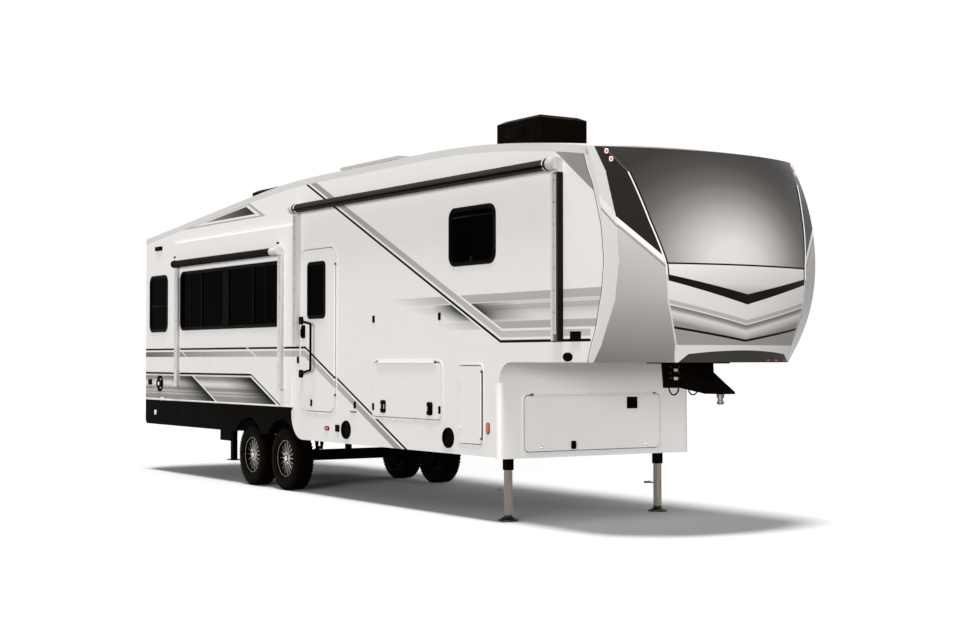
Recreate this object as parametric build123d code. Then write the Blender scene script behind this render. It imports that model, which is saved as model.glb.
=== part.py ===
from build123d import *
import math
import os

# A fifth wheel travel trailer, parked on its wheels and its two front landing legs.
# Millimetres. +X runs forward to the nose, +Y to the trailer's left, +Z up, ground at z = 0,
# and x = 0 is half way along the trailer. The entry door is on the right side, at -Y.

# Fits
SEAM = 0.3               # two pieces of one body that meet along a joint
GAP = 8.0                # a door, lid or slide-out round its edge

# Coach body
BODY_HALF = 1220.0       # outer face of a side wall
WALL = 40.0
REAR_X = -5760.0
ROOF = 75.0              # roof thickness at its edge
CROWN = 50.0             # how far the roof's middle stands above its edges
ROOF_REAR_Z = 3385.0
ROOF_TOP_Z = 3800.0
RISE_END_X = -1900.0     # straight rise of the roof ends here
CREST_BACK_X = -200.0    # flat top of the roof, from here
CREST_FRONT_X = 2200.0   # to here
CAP_X = 5050.0           # roof meets the nose cap
ROOF_CAP_Z = 3570.0
FLOOR_TOP = 1000.0
FLOOR = 70.0
REAR_WALL_Z = 1030.0     # rear stretch of the side walls ends here, above the black skirt
SKIRT_LOW_Z = 680.0
SKIRT_R = 70.0
SIDE_LOW_Z = 650.0
TUCK_X = -950.0          # side wall comes down here, in a curve
TUCK_R = 300.0
FRONT_X = 3620.0         # lower front wall's outer face
FRONT_CORNER_R = 60.0
COVE_R = 200.0           # lower front wall curves out under the raised deck
COVE_LIP = 2.0
DECK_LOW_Z = 1590.0      # underside of the raised front deck
DECK = 90.0
DECK_BACK_X = 700.0
BULKHEAD_X = 2700.0      # wall between the pass-through store and the front locker
INSIDE_HALF = BODY_HALF - WALL

# Nose cap: horizontal sections, each z, crease x, crease in from the side, panel edge x,
# panel edge in from the side, middle x
NOSE_SECTIONS = (
    (3620, 5120, 7, 5160, 24, 5500),
    (3310, 5325, 16, 5430, 180, 5675),
    (2840, 5487, 20, 5625, 275, 5825),
    (2480, 5513, 20, 5730, 370, 5868),
    (2140, 5455, 20, 5732, 395, 5864),
    (1750, 5255, 20, 5698, 510, 5828),
    (1590, 5135, 20, 5672, 530, 5800),
)
NOSE_X = max(section[5] for section in NOSE_SECTIONS)
SEAM_MID_X = 5320.0      # the seam with the side wall bows forward to here
SEAM_LOW_X = 5070.0

# Chassis
RAIL_Y = BODY_HALF - 340.0
RAIL_W = 80.0
RAIL_LOW_Z = 660.0
RAIL_WEB = 12.0
CROSS_W = 60.0
CROSS_COUNT = 9
RAIL_FRONT_X = 3540.0
BELLY = 8.0

# Running gear
AXLE_XS = (-1230.0, -2190.0)
TYRE_R = 393.0
TYRE_W = 230.0
TYRE_Y = RAIL_Y + 186.0
TREAD_HALF = 94.0
TREAD_CROWN = 8.0
HOLLOW = 0.32            # shares of the sidewall's height: the hollow by the rim,
BULGE = 0.45             # the widest place,
SHOULDER = 0.83          # and the shoulder, where the width has this share of the whole
SHOULDER_WIDTH = 0.93
BEAD = 0.6
TYRE_SIDES = 56
RIM_R = 224.0
AXLE_R = 38.0
SPINDLE_R = 30.0
HUB_CLEAR = 0.3
SPRING_W = 60.0
ARCH_R = 480.0

# Landing legs
LEG_X = 3400.0
LEG_OUTER = 80.0
LEG_Y = RAIL_Y + (RAIL_W + LEG_OUTER) / 2
LEG_INNER = 62.0
LEG_LOW_Z = 510.0
LEG_TOP_Z = 1350.0
PAD_R = 100.0
PAD = 38.0

# Slide-out rooms, one on each side; x measured along the coach
SLIDE_X = (-4635.0, -930.0)
SLIDE_Z = (1036.0, 3112.0)
SLIDE_DEPTH = 930.0
SLIDE_WALL = 32.0
SLIDE_PROUD = 35.0
SLIDE_LAP = 50.0
SLIDE_WINDOW_X = (-4345.0, -1200.0)
SLIDE_WINDOW_Z = (2040.0, 2820.0)

# Openings in the coach body
DOOR_X = (-680.0, 200.0)
DOOR_Z = (1005.0, 2925.0)
DOOR_R = 140.0
DOOR_WINDOW_X = (-480.0, -60.0)
DOOR_WINDOW_Z = (2120.0, 2760.0)
BAGGAGE_X = (1100.0, 2550.0)
BAGGAGE_Z = (990.0, 1580.0)
BAGGAGE_R = 60.0
GAS_X = (2890.0, 3320.0)
GAS_Z = (770.0, 1550.0)
FRONT_DOOR_Y = (-910.0, 800.0)
FRONT_DOOR_Z = (700.0, 1254.0)
PROUD = 8.0              # a door's face stands this far out of its wall
HINGE_R = 6.0

# Windows in the coach body
WINDOW_R = 90.0
FRAME_LAP = 20.0
FRAME_EDGE = 14.0
PANE = 5.0
PANE_FRONT = 4.0
MULLION = 40.0
MULLION_WIDE = 190.0
SLIDE_MULLIONS = ((-3620.0, MULLION), (-2820.0, MULLION_WIDE), (-1970.0, MULLION))
SIDE_WINDOWS = (((2720.0, 3550.0), (2590.0, 3150.0)), ((-5580.0, -4940.0), (2030.0, 2810.0)))
LEFT_WINDOWS = (((300.0, 1100.0), (2050.0, 2700.0)),)
REAR_WINDOW_W = 1400.0
REAR_WINDOW_Z = (1950.0, 2650.0)
SMALL_R = 45.0

# Frame details
BUMPER_STEM = 20.0
BUMPER = 90.0
BUMPER_HALF = 1130.0
BUMPER_WALL = 5.0
BUMPER_LOW_Z = 700.0
CROSS_LIFT = 60.0
OUTRIGGER_TIP = 40.0
OUTRIGGER_ROOT = 130.0
OUTRIGGER_W = 5.0
TRAY = 25.0
PARTITION = 30.0
LOWER_FRONT_Z = 635.0

# Pin box: its side view as x, z; the kingpin stands under its nose
KING_PIN_X = 5493.0
KING_PIN_TOP_Z = 1298.0
KING_PIN_R = 25.4
KING_PIN_SHOULDER_R = 36.5
KING_PIN_HEAD_R = 35.7
PIN_BOX_HALF = 170.0
PIN_PLATE = 12.0
PIN_PLATE_HALF = 300.0
PIN_PLATE_LAP = 60.0
PIN_TIP_RIM = 22.0
PIN_BOX_SIDE = (
    (4840.0, DECK_LOW_Z), (4868.0, 1345.0), (5117.0, 1349.0), (5400.0, KING_PIN_TOP_Z),
    (5630.0, KING_PIN_TOP_Z), (5625.0, 1318.0), (5240.0, 1495.0), (5230.0, DECK_LOW_Z),
)
CABLE_R = 7.0            # breakaway and lamp cables, held at both ends under the pin box
CABLE_LOOP_R = 70.0
CABLE_LOOPS = ((4955.0, -110.0, 1350.0), (5035.0, 60.0, 1352.0))

# Running gear details
BRAKE_Y = RAIL_Y + 34.0
BRAKE_R = 150.0
BRAKE_PLATE = 8.0
DRUM_R = 120.0
DRUM_BACK = -112.0
DRUM_FRONT = 10.0
HUB_FACE = 20.0
HUB_R = 88.0
HUB_WALL = 10.0
HUB_CAP_R = 36.0
HUB_STAND = 6.0
RIM_WALL = 14.0
FACE = 24.0
FACE_SET = 22.0
FACE_CROWN = 12.0
SPOKES = 18
SLOT_IN = 15.0
SLOT_OUT = 46.0
SLOT_EDGE = 8.0
RIM_HALF = 90.0
SPRING_HALF = 365.0
SPRING_BOW = 62.0
LEAF = 11.0
LEAVES = ((1.0, 0.0), (0.72, 1.0), (0.45, 2.0))     # each leaf's share of the length, and its place
SPRING_REST = 25.0       # an inner end stops this far short, under the rocker
SEAT_BLOCK = 16.0
SEAT_SINK = 8.0
SEAT_HALF = 55.0
EYE_R = 20.0
EYE_PIN_R = 8.0
EAR = 8.0
EAR_HALF = 60.0
EAR_TOP = 10.0
ROCKER_LAP = 30.0
ROCKER_TIP = 14.0
ROCKER_HALF = 30.0
ROCKER_HIGH = 60.0
ROCKER_NOTCH = 12.0
ROCKER_FLANK = (25.0, 40.0)

# Leg and jack details
LEG_WALL = 6.0
LEG_PIN = 130.0
LEG_PIN_R = 8.0
LEG_PIN_GRIP = 12.0
LEG_PIN_GRIP_HALF = 45.0
PAD_CONE = (80.0, 55.0)
LEG_PIN_Z = 300.0
JACK_X = -3380.0
JACK_TUBE = 70.0
JACK_LOW_Z = 262.0
JACK_FOOT = (95.0, 65.0, 12.0)
JACK_MOTOR = (370.0, 80.0, 150.0)

# On the roof
ROOF_LIP = 6.0
ROOF_PATH_SPARE = 700.0  # the roof's path runs on past both ends of the trailer
BELOW_ALL = ROOF_TOP_Z - SIDE_LOW_Z + 2 * ROOF     # and what is swept along it reaches this far down
AC_HALF = 350.0
AC_HEIGHT = 330.0
AC_BEVEL = 40.0
AC_LEAN = 25.0
AC_CORNER_R = 120.0
AC_PLACES = (((2200.0, 3050.0), 4205.0), ((-4060.0, -3210.0), 4010.0))
SOLAR_X = (-300.0, 1090.0)
SOLAR_Y = (-900.0, 100.0)
SOLAR_Z = 3920.0
SOLAR = 35.0
SOLAR_FOOT = 40.0
SOLAR_FOOT_IN = 60.0
VENT = 380.0
VENT_HIGH = 95.0
VENT_BEVEL = 30.0
VENT_PLACES = ((-2300.0, 0.0), (-5000.0, -300.0))

# Awnings
AWNING_BACK_X = (-800.0, -700.0)
AWNING_FRONT_X = (4590.0, 4700.0)
AWNING_DEEP = 65.0
AWNING_R = 52.0
AWNING_HEAD_R = 60.0
AWNING_CAP = 40.0
AWNING_Y = -BODY_HALF - AWNING_DEEP - 10.0
AWNING_Z = 3440.0
AWNING_LOW_Z = 1790.0
SLIDE_SEAL = 5.0
SLIDE_LAP_TOP = 140.0
SLIDE_AWNING_X = (-4410.0, -1104.0)
SLIDE_AWNING_Z = 2950.0
SLIDE_AWNING_R = 48.0
SLIDE_AWNING_OUT = 72.0
SLIDE_HEAD_R = 54.0
SLIDE_HEAD_UP = 20.0
SLIDE_ARM = 50.0
SLIDE_ARM_DEEP = 40.0
SLIDE_ARM_LOW_Z = 1250.0
ROLLERS = 4
ROLLER_W = 120.0

# Door details
LEAF_DEEP = 30.0
BARREL_R = 9.0
HINGE_OUT = 18.0
HINGE_OFF = 4.0
HINGE_TAB = 25.0
HINGE_TAB_IN = 1.0       # a bracket's near and far edge, from the pin's middle
HINGE_TAB_OUT = 20.0
WING = 20.0
LATCH_X = -600.0
LATCH_Z = 1950.0
LATCH = (70.0, 150.0)
LATCH_DEEP = 18.0
GRAB_Z = (1450.0, 2080.0)
GRAB_X = (-630.0, -290.0)
GRAB_OUT = 70.0
GRAB_R = 14.0
GRAB_BEND = 60.0
GRAB_BEND_R = 25.0
GRAB_FOOT = 8.0
GRAB_FOOT_R = 26.0
BAGGAGE_LATCH_XS = (1330.0, 2310.0)
BAGGAGE_LATCH_Z = 1100.0
BAGGAGE_LATCH = (90.0, 50.0)

# Rear and side fittings
LADDER_Y = (BODY_HALF - 660.0, BODY_HALF - 320.0)
LADDER_OUT = 90.0
LADDER_R = 13.0
LADDER_OVER = 200.0
LADDER_BEND_R = 60.0
RUNGS = 7
RUNG_R = 12.0
LADDER_LOW_Z = 1250.0
LADDER_STAY_Z = 2300.0
LAMP_W = 90.0
LAMP_H = 260.0
LAMP_R = 30.0
LAMP_DEEP = 14.0
LAMP_Y = -1080.0
LAMP_Z = 1250.0
SPEAKER_XS = (470.0, 2690.0)
SPEAKER_Z = 810.0
SPEAKER_R = 100.0
SPEAKER_RIM = 18.0
SPEAKER_DEEP = 8.0
PORT_X = -5200.0
PORT_Z = 1270.0
PORT_R = 110.0
PORT_DEEP = 10.0
PORT_LID = (90.0, 76.0)
PORT_LID_DEEP = 6.0
COVER_DEEP = 16.0
SIDE_COVERS = (          # x, z, width, height
    (-5570.0, 1290.0, 120.0, 80.0), (4900.0, 1830.0, 150.0, 90.0), (4780.0, 1640.0, 90.0, 50.0),
    (260.0, 820.0, 80.0, 80.0),
)


def block(x, y, z):
    """A box between two values along each axis."""
    size = (x[1] - x[0], y[1] - y[0], z[1] - z[0])
    middle = ((x[0] + x[1]) / 2, (y[0] + y[1]) / 2, (z[0] + z[1]) / 2)
    return Pos(*middle) * Box(*size)


def both_sides(solid):
    """The solid and its mirror image on the other side of the trailer."""
    return [solid, solid.mirror(Plane.XZ)]


def rounded_slab(x, z, y, radius):
    """An upright slab with rounded corners, flat along the side of the trailer."""
    middle = Plane(origin=((x[0] + x[1]) / 2, y[0], (z[0] + z[1]) / 2), x_dir=(1, 0, 0), z_dir=(0, 1, 0))
    outline = RectangleRounded(x[1] - x[0], z[1] - z[0], radius)
    return extrude(middle * outline, y[1] - y[0])


def save(name, *solids):
    shape = solids[0] if len(solids) == 1 else Compound(children=list(solids))
    export_step(shape, os.path.join("parts", name + ".step"))


def roof_slope():
    """Angle of the straight rise, found by halving, so that an arc carries it on into the flat top."""
    low, high = 0.0, 0.5
    for _ in range(50):
        slope = (low + high) / 2
        arc = (CREST_BACK_X - RISE_END_X) * math.tan(slope / 2)
        reached = arc + (RISE_END_X - REAR_X) * math.tan(slope)
        low, high = (slope, high) if reached < ROOF_TOP_Z - ROOF_REAR_Z else (low, slope)
    return slope


def roof_path():
    """The roof's edge seen from the side: a straight rise, a long arc, a flat top and a long arc down."""
    run = CREST_BACK_X - RISE_END_X
    slope = roof_slope()
    rise_r = run / math.sin(slope)
    rise_end = (RISE_END_X, 0, ROOF_TOP_Z - run * math.tan(slope / 2))
    start_x = REAR_X - ROOF_PATH_SPARE
    start = (start_x, 0, rise_end[2] - (RISE_END_X - start_x) * math.tan(slope))
    rise_mid_x = CREST_BACK_X - rise_r * math.sin(slope / 2)
    rise_mid = (rise_mid_x, 0, ROOF_TOP_Z - rise_r * (1 - math.cos(slope / 2)))
    fall_run = CAP_X - CREST_FRONT_X
    fall = ROOF_TOP_Z - ROOF_CAP_Z
    fall_r = (fall_run ** 2 + fall ** 2) / (2 * fall)

    def fall_at(x):
        return (x, 0, ROOF_TOP_Z - fall_r + math.sqrt(fall_r ** 2 - (x - CREST_FRONT_X) ** 2))

    end_x = NOSE_X + ROOF_PATH_SPARE
    back_crest = (CREST_BACK_X, 0, ROOF_TOP_Z)
    front_crest = (CREST_FRONT_X, 0, ROOF_TOP_Z)
    return Wire([
        Line(start, rise_end),
        ThreePointArc(rise_end, rise_mid, back_crest),
        Line(back_crest, front_crest),
        ThreePointArc(front_crest, fall_at((CREST_FRONT_X + end_x) / 2), fall_at(end_x)),
    ])


def along_roof(outline_points, crown=0.0):
    """Sweep a cross-section along the roof's edge. Its points are (y, height over the edge)."""
    path = roof_path()
    plane = Plane(origin=path @ 0, x_dir=(0, 1, 0), z_dir=path % 0)
    with BuildSketch(plane) as section:
        with BuildLine():
            Polyline(*outline_points)
            if crown:
                ThreePointArc(outline_points[-1], (0, crown), outline_points[0])
            else:
                Line(outline_points[-1], outline_points[0])
        make_face()
    return sweep(section.sketch, path=path)


def roof_skin(drop, half):
    """All the space under the roof's crowned top, less a drop, down past the floor."""
    points = [(-half, -drop), (-half, -BELOW_ALL), (half, -BELOW_ALL), (half, -drop)]
    return along_roof(points, CROWN - drop)


def nose_space(inset):
    """The space inside the nose's outline, taken in by a wall, back to the front deck's rear edge."""
    sections = []
    seam_half = (ROOF_CAP_Z - DECK_LOW_Z) / 2
    seam_mid_z = (ROOF_CAP_Z + DECK_LOW_Z) / 2
    bow = SEAM_MID_X - (CAP_X + SEAM_LOW_X) / 2
    seam_r = (seam_half ** 2 + bow ** 2) / (2 * bow)
    for z, crease_x, crease_in, edge_x, edge_in, middle_x in NOSE_SECTIONS:
        seam_x = SEAM_MID_X - seam_r + math.sqrt(seam_r ** 2 - (z - seam_mid_z) ** 2)
        side = BODY_HALF - inset
        crease = (crease_x - inset / 2, side - crease_in)
        edge = (edge_x - inset, BODY_HALF - edge_in - inset / 3)
        left = [(DECK_BACK_X, side), (seam_x - inset / 4, side), crease, edge]
        right = [(x, -y) for x, y in reversed(left)]
        with BuildSketch(Plane.XY.offset(z)) as section:
            with BuildLine():
                Polyline(*left)
                ThreePointArc(left[-1], (middle_x - inset, 0), right[0])
                Polyline(*right)
                Line(right[-1], left[0])
            make_face()
        sections.append(section.sketch)
    return loft(sections)


def behind_seam(clearance):
    """Everything behind the curved seam between the side walls and the nose cap."""
    low, high = DECK_LOW_Z - WALL, ROOF_TOP_Z + 2 * CROWN
    back, half = REAR_X - ROOF_PATH_SPARE, BODY_HALF + WALL
    with BuildSketch(Plane.XZ.offset(half)) as section:
        with BuildLine():
            ThreePointArc(
                (CAP_X + clearance, ROOF_CAP_Z),
                (SEAM_MID_X + clearance, (ROOF_CAP_Z + DECK_LOW_Z) / 2),
                (SEAM_LOW_X + clearance, DECK_LOW_Z),
            )
            Polyline(
                (SEAM_LOW_X + clearance, DECK_LOW_Z), (SEAM_LOW_X + clearance, low), (back, low),
                (back, high), (CAP_X + clearance, high), (CAP_X + clearance, ROOF_CAP_Z),
            )
        make_face()
    return extrude(section.sketch, -2 * half)


def seam_arc():
    """The curved seam seen from the side, from the roof down to the front deck."""
    top = (CAP_X, ROOF_CAP_Z)
    middle = (SEAM_MID_X, (ROOF_CAP_Z + DECK_LOW_Z) / 2)
    return ThreePointArc(top, middle, (SEAM_LOW_X, DECK_LOW_Z))


def window_parts(width, height, radius, mullions=()):
    """A frame and its panes for a window in a wall whose outer face is y = 0, outside at -Y.

    A mullion is its middle, measured from the window's, and its width.
    """
    def slab(grow, front, back):
        outline = RectangleRounded(width + 2 * grow, height + 2 * grow, radius + grow)
        return extrude(Plane.XZ.offset(-front) * outline, front - back)

    frame = slab(FRAME_LAP, -PROUD, 0) + slab(-SEAM, -PROUD, WALL)
    opening = slab(-FRAME_EDGE, -PROUD - 1, WALL + 1)
    frame -= opening
    for middle, bar in mullions:
        post = block((middle - bar / 2, middle + bar / 2), (-PROUD, PANE_FRONT), (-height / 2, height / 2))
        frame += post & opening
    pane = slab(-FRAME_EDGE - SEAM, PANE_FRONT + SEAM, PANE_FRONT + SEAM + PANE)
    return frame, pane


def on_right(x, z):
    """Where a window or door goes on the right side wall."""
    return Pos((x[0] + x[1]) / 2, -BODY_HALF, (z[0] + z[1]) / 2)


def span(pair):
    return pair[1] - pair[0]


def grown(pair, by):
    return (pair[0] - by, pair[1] + by)


def frame_rails():
    """Two I-beam rails from the bumper to the front locker."""
    low, high = RAIL_LOW_Z, FLOOR_TOP - FLOOR
    back, front = REAR_X - BUMPER_STEM, RAIL_FRONT_X
    inner, outer = RAIL_Y - RAIL_W / 2, RAIL_Y + RAIL_W / 2
    beam = block((back, front), (inner, outer), (low, high))
    for y in ((inner, RAIL_Y - RAIL_WEB / 2), (RAIL_Y + RAIL_WEB / 2, outer)):
        beam -= block((back, front), y, (low + RAIL_WEB, high - RAIL_WEB))
    return both_sides(beam)


def cross_members():
    """Beams between the rails' webs, and tapered outriggers from the webs to the floor's edges."""
    low, high = RAIL_LOW_Z + CROSS_LIFT, FLOOR_TOP - FLOOR - RAIL_WEB
    web_in, web_out = RAIL_Y - RAIL_WEB / 2, RAIL_Y + RAIL_WEB / 2
    pitch = (BULKHEAD_X - CROSS_W - REAR_X - WALL) / (CROSS_COUNT - 1)
    for i in range(CROSS_COUNT):
        x = REAR_X + WALL + i * pitch
        yield block((x, x + CROSS_W), (-web_in, web_in), (low, high))
        with BuildSketch(Plane.YZ.offset(x)) as arm:
            with BuildLine():
                Polyline(
                    (web_out, high), (RAIL_Y + RAIL_W / 2, high), (RAIL_Y + RAIL_W / 2, high + RAIL_WEB),
                    (INSIDE_HALF, high + RAIL_WEB), (INSIDE_HALF, high - OUTRIGGER_TIP),
                    (web_out, high - OUTRIGGER_ROOT), close=True,
                )
            make_face()
        yield from both_sides(extrude(arm.sketch, OUTRIGGER_W))
    yield block((RAIL_FRONT_X - CROSS_W, RAIL_FRONT_X), (-web_in, web_in), (RAIL_LOW_Z + RAIL_WEB, low))


def floors():
    main = block((REAR_X + WALL, BULKHEAD_X), (-INSIDE_HALF, INSIDE_HALF), (FLOOR_TOP - FLOOR, FLOOR_TOP))
    half = RAIL_Y - RAIL_W / 2
    tray = block((BULKHEAD_X, RAIL_FRONT_X - CROSS_W), (-half, half), (RAIL_LOW_Z, RAIL_LOW_Z + TRAY))
    belly = block((REAR_X + WALL, BULKHEAD_X), (-half, half), (RAIL_LOW_Z - BELLY, RAIL_LOW_Z))
    return main, tray, belly


def partitions():
    """The riser under the deck's rear edge, and the wall behind the front locker."""
    for x in (DECK_BACK_X, BULKHEAD_X - PARTITION):
        yield block((x, x + PARTITION), (-INSIDE_HALF, INSIDE_HALF), (FLOOR_TOP, DECK_LOW_Z))


def upper_deck():
    level = block((DECK_BACK_X, NOSE_X), (-BODY_HALF, BODY_HALF), (DECK_LOW_Z, DECK_LOW_Z + DECK))
    return nose_space(WALL + SEAM) & level


def side_blank():
    """The right side wall with nothing cut in it."""
    low_front_x = FRONT_X - FRONT_CORNER_R
    with BuildSketch(Plane.XZ.offset(INSIDE_HALF)) as section:
        with BuildLine():
            seam_arc()
            Polyline((SEAM_LOW_X, DECK_LOW_Z), (low_front_x, DECK_LOW_Z), (low_front_x, SIDE_LOW_Z),
                     (TUCK_X + TUCK_R, SIDE_LOW_Z))
            RadiusArc((TUCK_X + TUCK_R, SIDE_LOW_Z), (TUCK_X, SIDE_LOW_Z + TUCK_R), TUCK_R)
            Polyline((TUCK_X, SIDE_LOW_Z + TUCK_R), (TUCK_X, REAR_WALL_Z), (REAR_X, REAR_WALL_Z),
                     (REAR_X, ROOF_TOP_Z), (CAP_X, ROOF_TOP_Z), (CAP_X, ROOF_CAP_Z))
        make_face()
    blank = extrude(section.sketch, WALL)
    half, top = BODY_HALF, -ROOF - SEAM
    return blank & along_roof([(-half, top), (-half, -BELOW_ALL), (half, -BELOW_ALL), (half, top)])


def slide_opening():
    return block(grown(SLIDE_X, GAP), (-BODY_HALF - 1, -INSIDE_HALF + 1), (FLOOR_TOP, SLIDE_Z[1] + GAP))


def through(x, z, radius, grow=0.0):
    """A rounded hole through the right side wall."""
    return rounded_slab(grown(x, grow), grown(z, grow), (-BODY_HALF - 1, -INSIDE_HALF + 1), radius + grow)


def side_walls():
    blank = side_blank() - slide_opening() - through(BAGGAGE_X, BAGGAGE_Z, BAGGAGE_R, GAP)
    for x, z in SIDE_WINDOWS:
        blank -= through(x, z, WINDOW_R)
    right = blank - through(DOOR_X, DOOR_Z, DOOR_R, GAP) - through(GAS_X, GAS_Z, SMALL_R, GAP)
    left = blank
    for x, z in LEFT_WINDOWS:
        left -= through(x, z, WINDOW_R)
    return right, left.mirror(Plane.XZ)


def coach_windows():
    """Every window that is fixed in a wall of the body: all frames, then all panes."""
    frames, panes = [], []
    for x, z in SIDE_WINDOWS + LEFT_WINDOWS:
        placed = [on_right(x, z) * piece for piece in window_parts(span(x), span(z), WINDOW_R)]
        for kept, piece in zip((frames, panes), placed):
            kept.append(piece.mirror(Plane.XZ))
            if (x, z) in SIDE_WINDOWS:
                kept.append(piece)
    place = Pos(REAR_X, 0, sum(REAR_WINDOW_Z) / 2) * Rot(0, 0, -90)
    for kept, piece in zip((frames, panes), window_parts(REAR_WINDOW_W, span(REAR_WINDOW_Z), WINDOW_R)):
        kept.append(place * piece)
    return frames, panes


def rear_wall():
    half = INSIDE_HALF
    wall = block((REAR_X, REAR_X + WALL), (-half, half), (FLOOR_TOP - FLOOR, ROOF_TOP_Z))
    top = -ROOF - SEAM
    under = [(-half, top), (-half, -BELOW_ALL), (half, -BELOW_ALL), (half, top)]
    wall = wall & along_roof(under, top + CROWN)
    hole = extrude(Plane.YZ * RectangleRounded(REAR_WINDOW_W, span(REAR_WINDOW_Z), WINDOW_R), WALL + 2)
    return wall - Pos(REAR_X - 1, 0, sum(REAR_WINDOW_Z) / 2) * hole


def roof():
    """The crowned roof with its rounded edge trim, back to front as far as the nose cap."""
    half = BODY_HALF
    top = roof_skin(0.0, half) - roof_skin(ROOF, half)
    height = (ROOF_REAR_Z - 3 * ROOF, ROOF_TOP_Z + 2 * ROOF)
    return top & block((REAR_X - ROOF_LIP, CAP_X), (-half, half), height)


def nose_cap():
    shell = nose_space(0.0) & roof_skin(0.0, BODY_HALF)
    hollow = nose_space(WALL) & roof_skin(ROOF, INSIDE_HALF)
    return shell - hollow - behind_seam(SEAM)


def lower_front_wall():
    """The wall under the raised deck: rounded into both sides, with its baggage opening."""
    back = FRONT_X - FRONT_CORNER_R + SEAM

    def filled(inset):
        half = BODY_HALF - inset
        solid = block((back - FRONT_CORNER_R, FRONT_X - inset), (-half, half), (LOWER_FRONT_Z, DECK_LOW_Z))
        corners = solid.edges().filter_by(Axis.Z).sort_by(Axis.X)[-2:]
        return fillet(corners, FRONT_CORNER_R - inset)

    wall = filled(0.0) - filled(WALL)
    wall -= block((0, back), (-BODY_HALF, BODY_HALF), (LOWER_FRONT_Z, DECK_LOW_Z))
    size = (span(FRONT_DOOR_Y) + 2 * GAP, span(FRONT_DOOR_Z) + 2 * GAP)
    hole = extrude(Plane.YZ * RectangleRounded(*size, SMALL_R), 2 * WALL)
    wall -= Pos(FRONT_X - 1.5 * WALL, sum(FRONT_DOOR_Y) / 2, sum(FRONT_DOOR_Z) / 2) * hole

    level = (DECK_LOW_Z - COVE_R, DECK_LOW_Z)
    cove = block((FRONT_X - COVE_LIP, FRONT_X + COVE_R), (-BODY_HALF, BODY_HALF), level)
    for y in ((-BODY_HALF, -INSIDE_HALF), (INSIDE_HALF, BODY_HALF)):
        cove += block((back, FRONT_X), y, level)
    hollow = Cylinder(COVE_R - COVE_LIP, 3 * BODY_HALF)
    return wall + (cove - Pos(FRONT_X + COVE_R, 0, DECK_LOW_Z - COVE_R) * Rot(90, 0, 0) * hollow)


def skirt():
    """The black skirt along the right side, with an arch over each wheel."""
    corner_x, corner_z = TUCK_X + TUCK_R, SIDE_LOW_Z + TUCK_R
    low_x = corner_x - math.sqrt((TUCK_R + SEAM) ** 2 - (corner_z - SKIRT_LOW_Z) ** 2)
    with BuildSketch(Plane.XZ.offset(INSIDE_HALF)) as section:
        with BuildLine():
            RadiusArc((REAR_X + SKIRT_R, SKIRT_LOW_Z), (REAR_X, SKIRT_LOW_Z + SKIRT_R), SKIRT_R)
            Polyline((REAR_X, SKIRT_LOW_Z + SKIRT_R), (REAR_X, REAR_WALL_Z), (TUCK_X - SEAM, REAR_WALL_Z),
                     (TUCK_X - SEAM, corner_z))
            RadiusArc((TUCK_X - SEAM, corner_z), (low_x, SKIRT_LOW_Z), -TUCK_R - SEAM)
            Line((low_x, SKIRT_LOW_Z), (REAR_X + SKIRT_R, SKIRT_LOW_Z))
        make_face()
    plate = extrude(section.sketch, WALL)
    for x in AXLE_XS:
        plate -= Pos(x, -BODY_HALF, TYRE_R) * Rot(90, 0, 0) * Cylinder(ARCH_R, 4 * WALL)
    return plate


def pin_box():
    """The coupler that hangs under the deck: deep at its rear, tapered to its nose."""
    with BuildSketch(Plane.XZ.offset(PIN_BOX_HALF)) as side:
        with BuildLine():
            Polyline(*PIN_BOX_SIDE, close=True)
        make_face()
    back_x, taper_x, tip_x = PIN_BOX_SIDE[0][0], PIN_BOX_SIDE[2][0], PIN_BOX_SIDE[4][0]
    tip_half = KING_PIN_SHOULDER_R + PIN_TIP_RIM
    with BuildSketch(Plane.XY.offset(KING_PIN_TOP_Z)) as plan:
        with BuildLine():
            Polyline((back_x, -PIN_BOX_HALF), (taper_x, -PIN_BOX_HALF), (tip_x, -tip_half),
                     (tip_x, tip_half), (taper_x, PIN_BOX_HALF), (back_x, PIN_BOX_HALF), close=True)
        make_face()
    body = extrude(side.sketch, -2 * PIN_BOX_HALF) & extrude(plan.sketch, DECK_LOW_Z - KING_PIN_TOP_Z)
    plate_x = (back_x - PIN_PLATE_LAP, PIN_BOX_SIDE[-1][0] + PIN_PLATE_LAP)
    body += block(plate_x, (-PIN_PLATE_HALF, PIN_PLATE_HALF), (DECK_LOW_Z - PIN_PLATE, DECK_LOW_Z))
    loop = revolve(Plane.XZ * Pos(CABLE_LOOP_R, 0) * Circle(CABLE_R), Axis.Z, 180)
    hang = Rot(-90, 0, 0) * loop
    for x, y, z in CABLE_LOOPS:
        body += Pos(x, y, z) * hang
    return body


def king_pin():
    """Shoulder, locking neck and head of the pin, turned about its axis."""
    shoulder, neck, head, bevel = 36.0, 35.0, 15.0, 12.0
    z1 = KING_PIN_TOP_Z - shoulder
    z2, z3 = z1 - neck, z1 - neck - head
    z4 = z3 - bevel
    with BuildSketch(Plane.XZ) as half:
        with BuildLine():
            Polyline((0, KING_PIN_TOP_Z), (KING_PIN_SHOULDER_R, KING_PIN_TOP_Z), (KING_PIN_SHOULDER_R, z1),
                     (KING_PIN_R, z1), (KING_PIN_R, z2), (KING_PIN_HEAD_R, z2), (KING_PIN_HEAD_R, z3),
                     (KING_PIN_R, z4), (0, z4), close=True)
        make_face()
    return Pos(KING_PIN_X, 0, 0) * revolve(half.sketch, Axis.Z)


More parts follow.
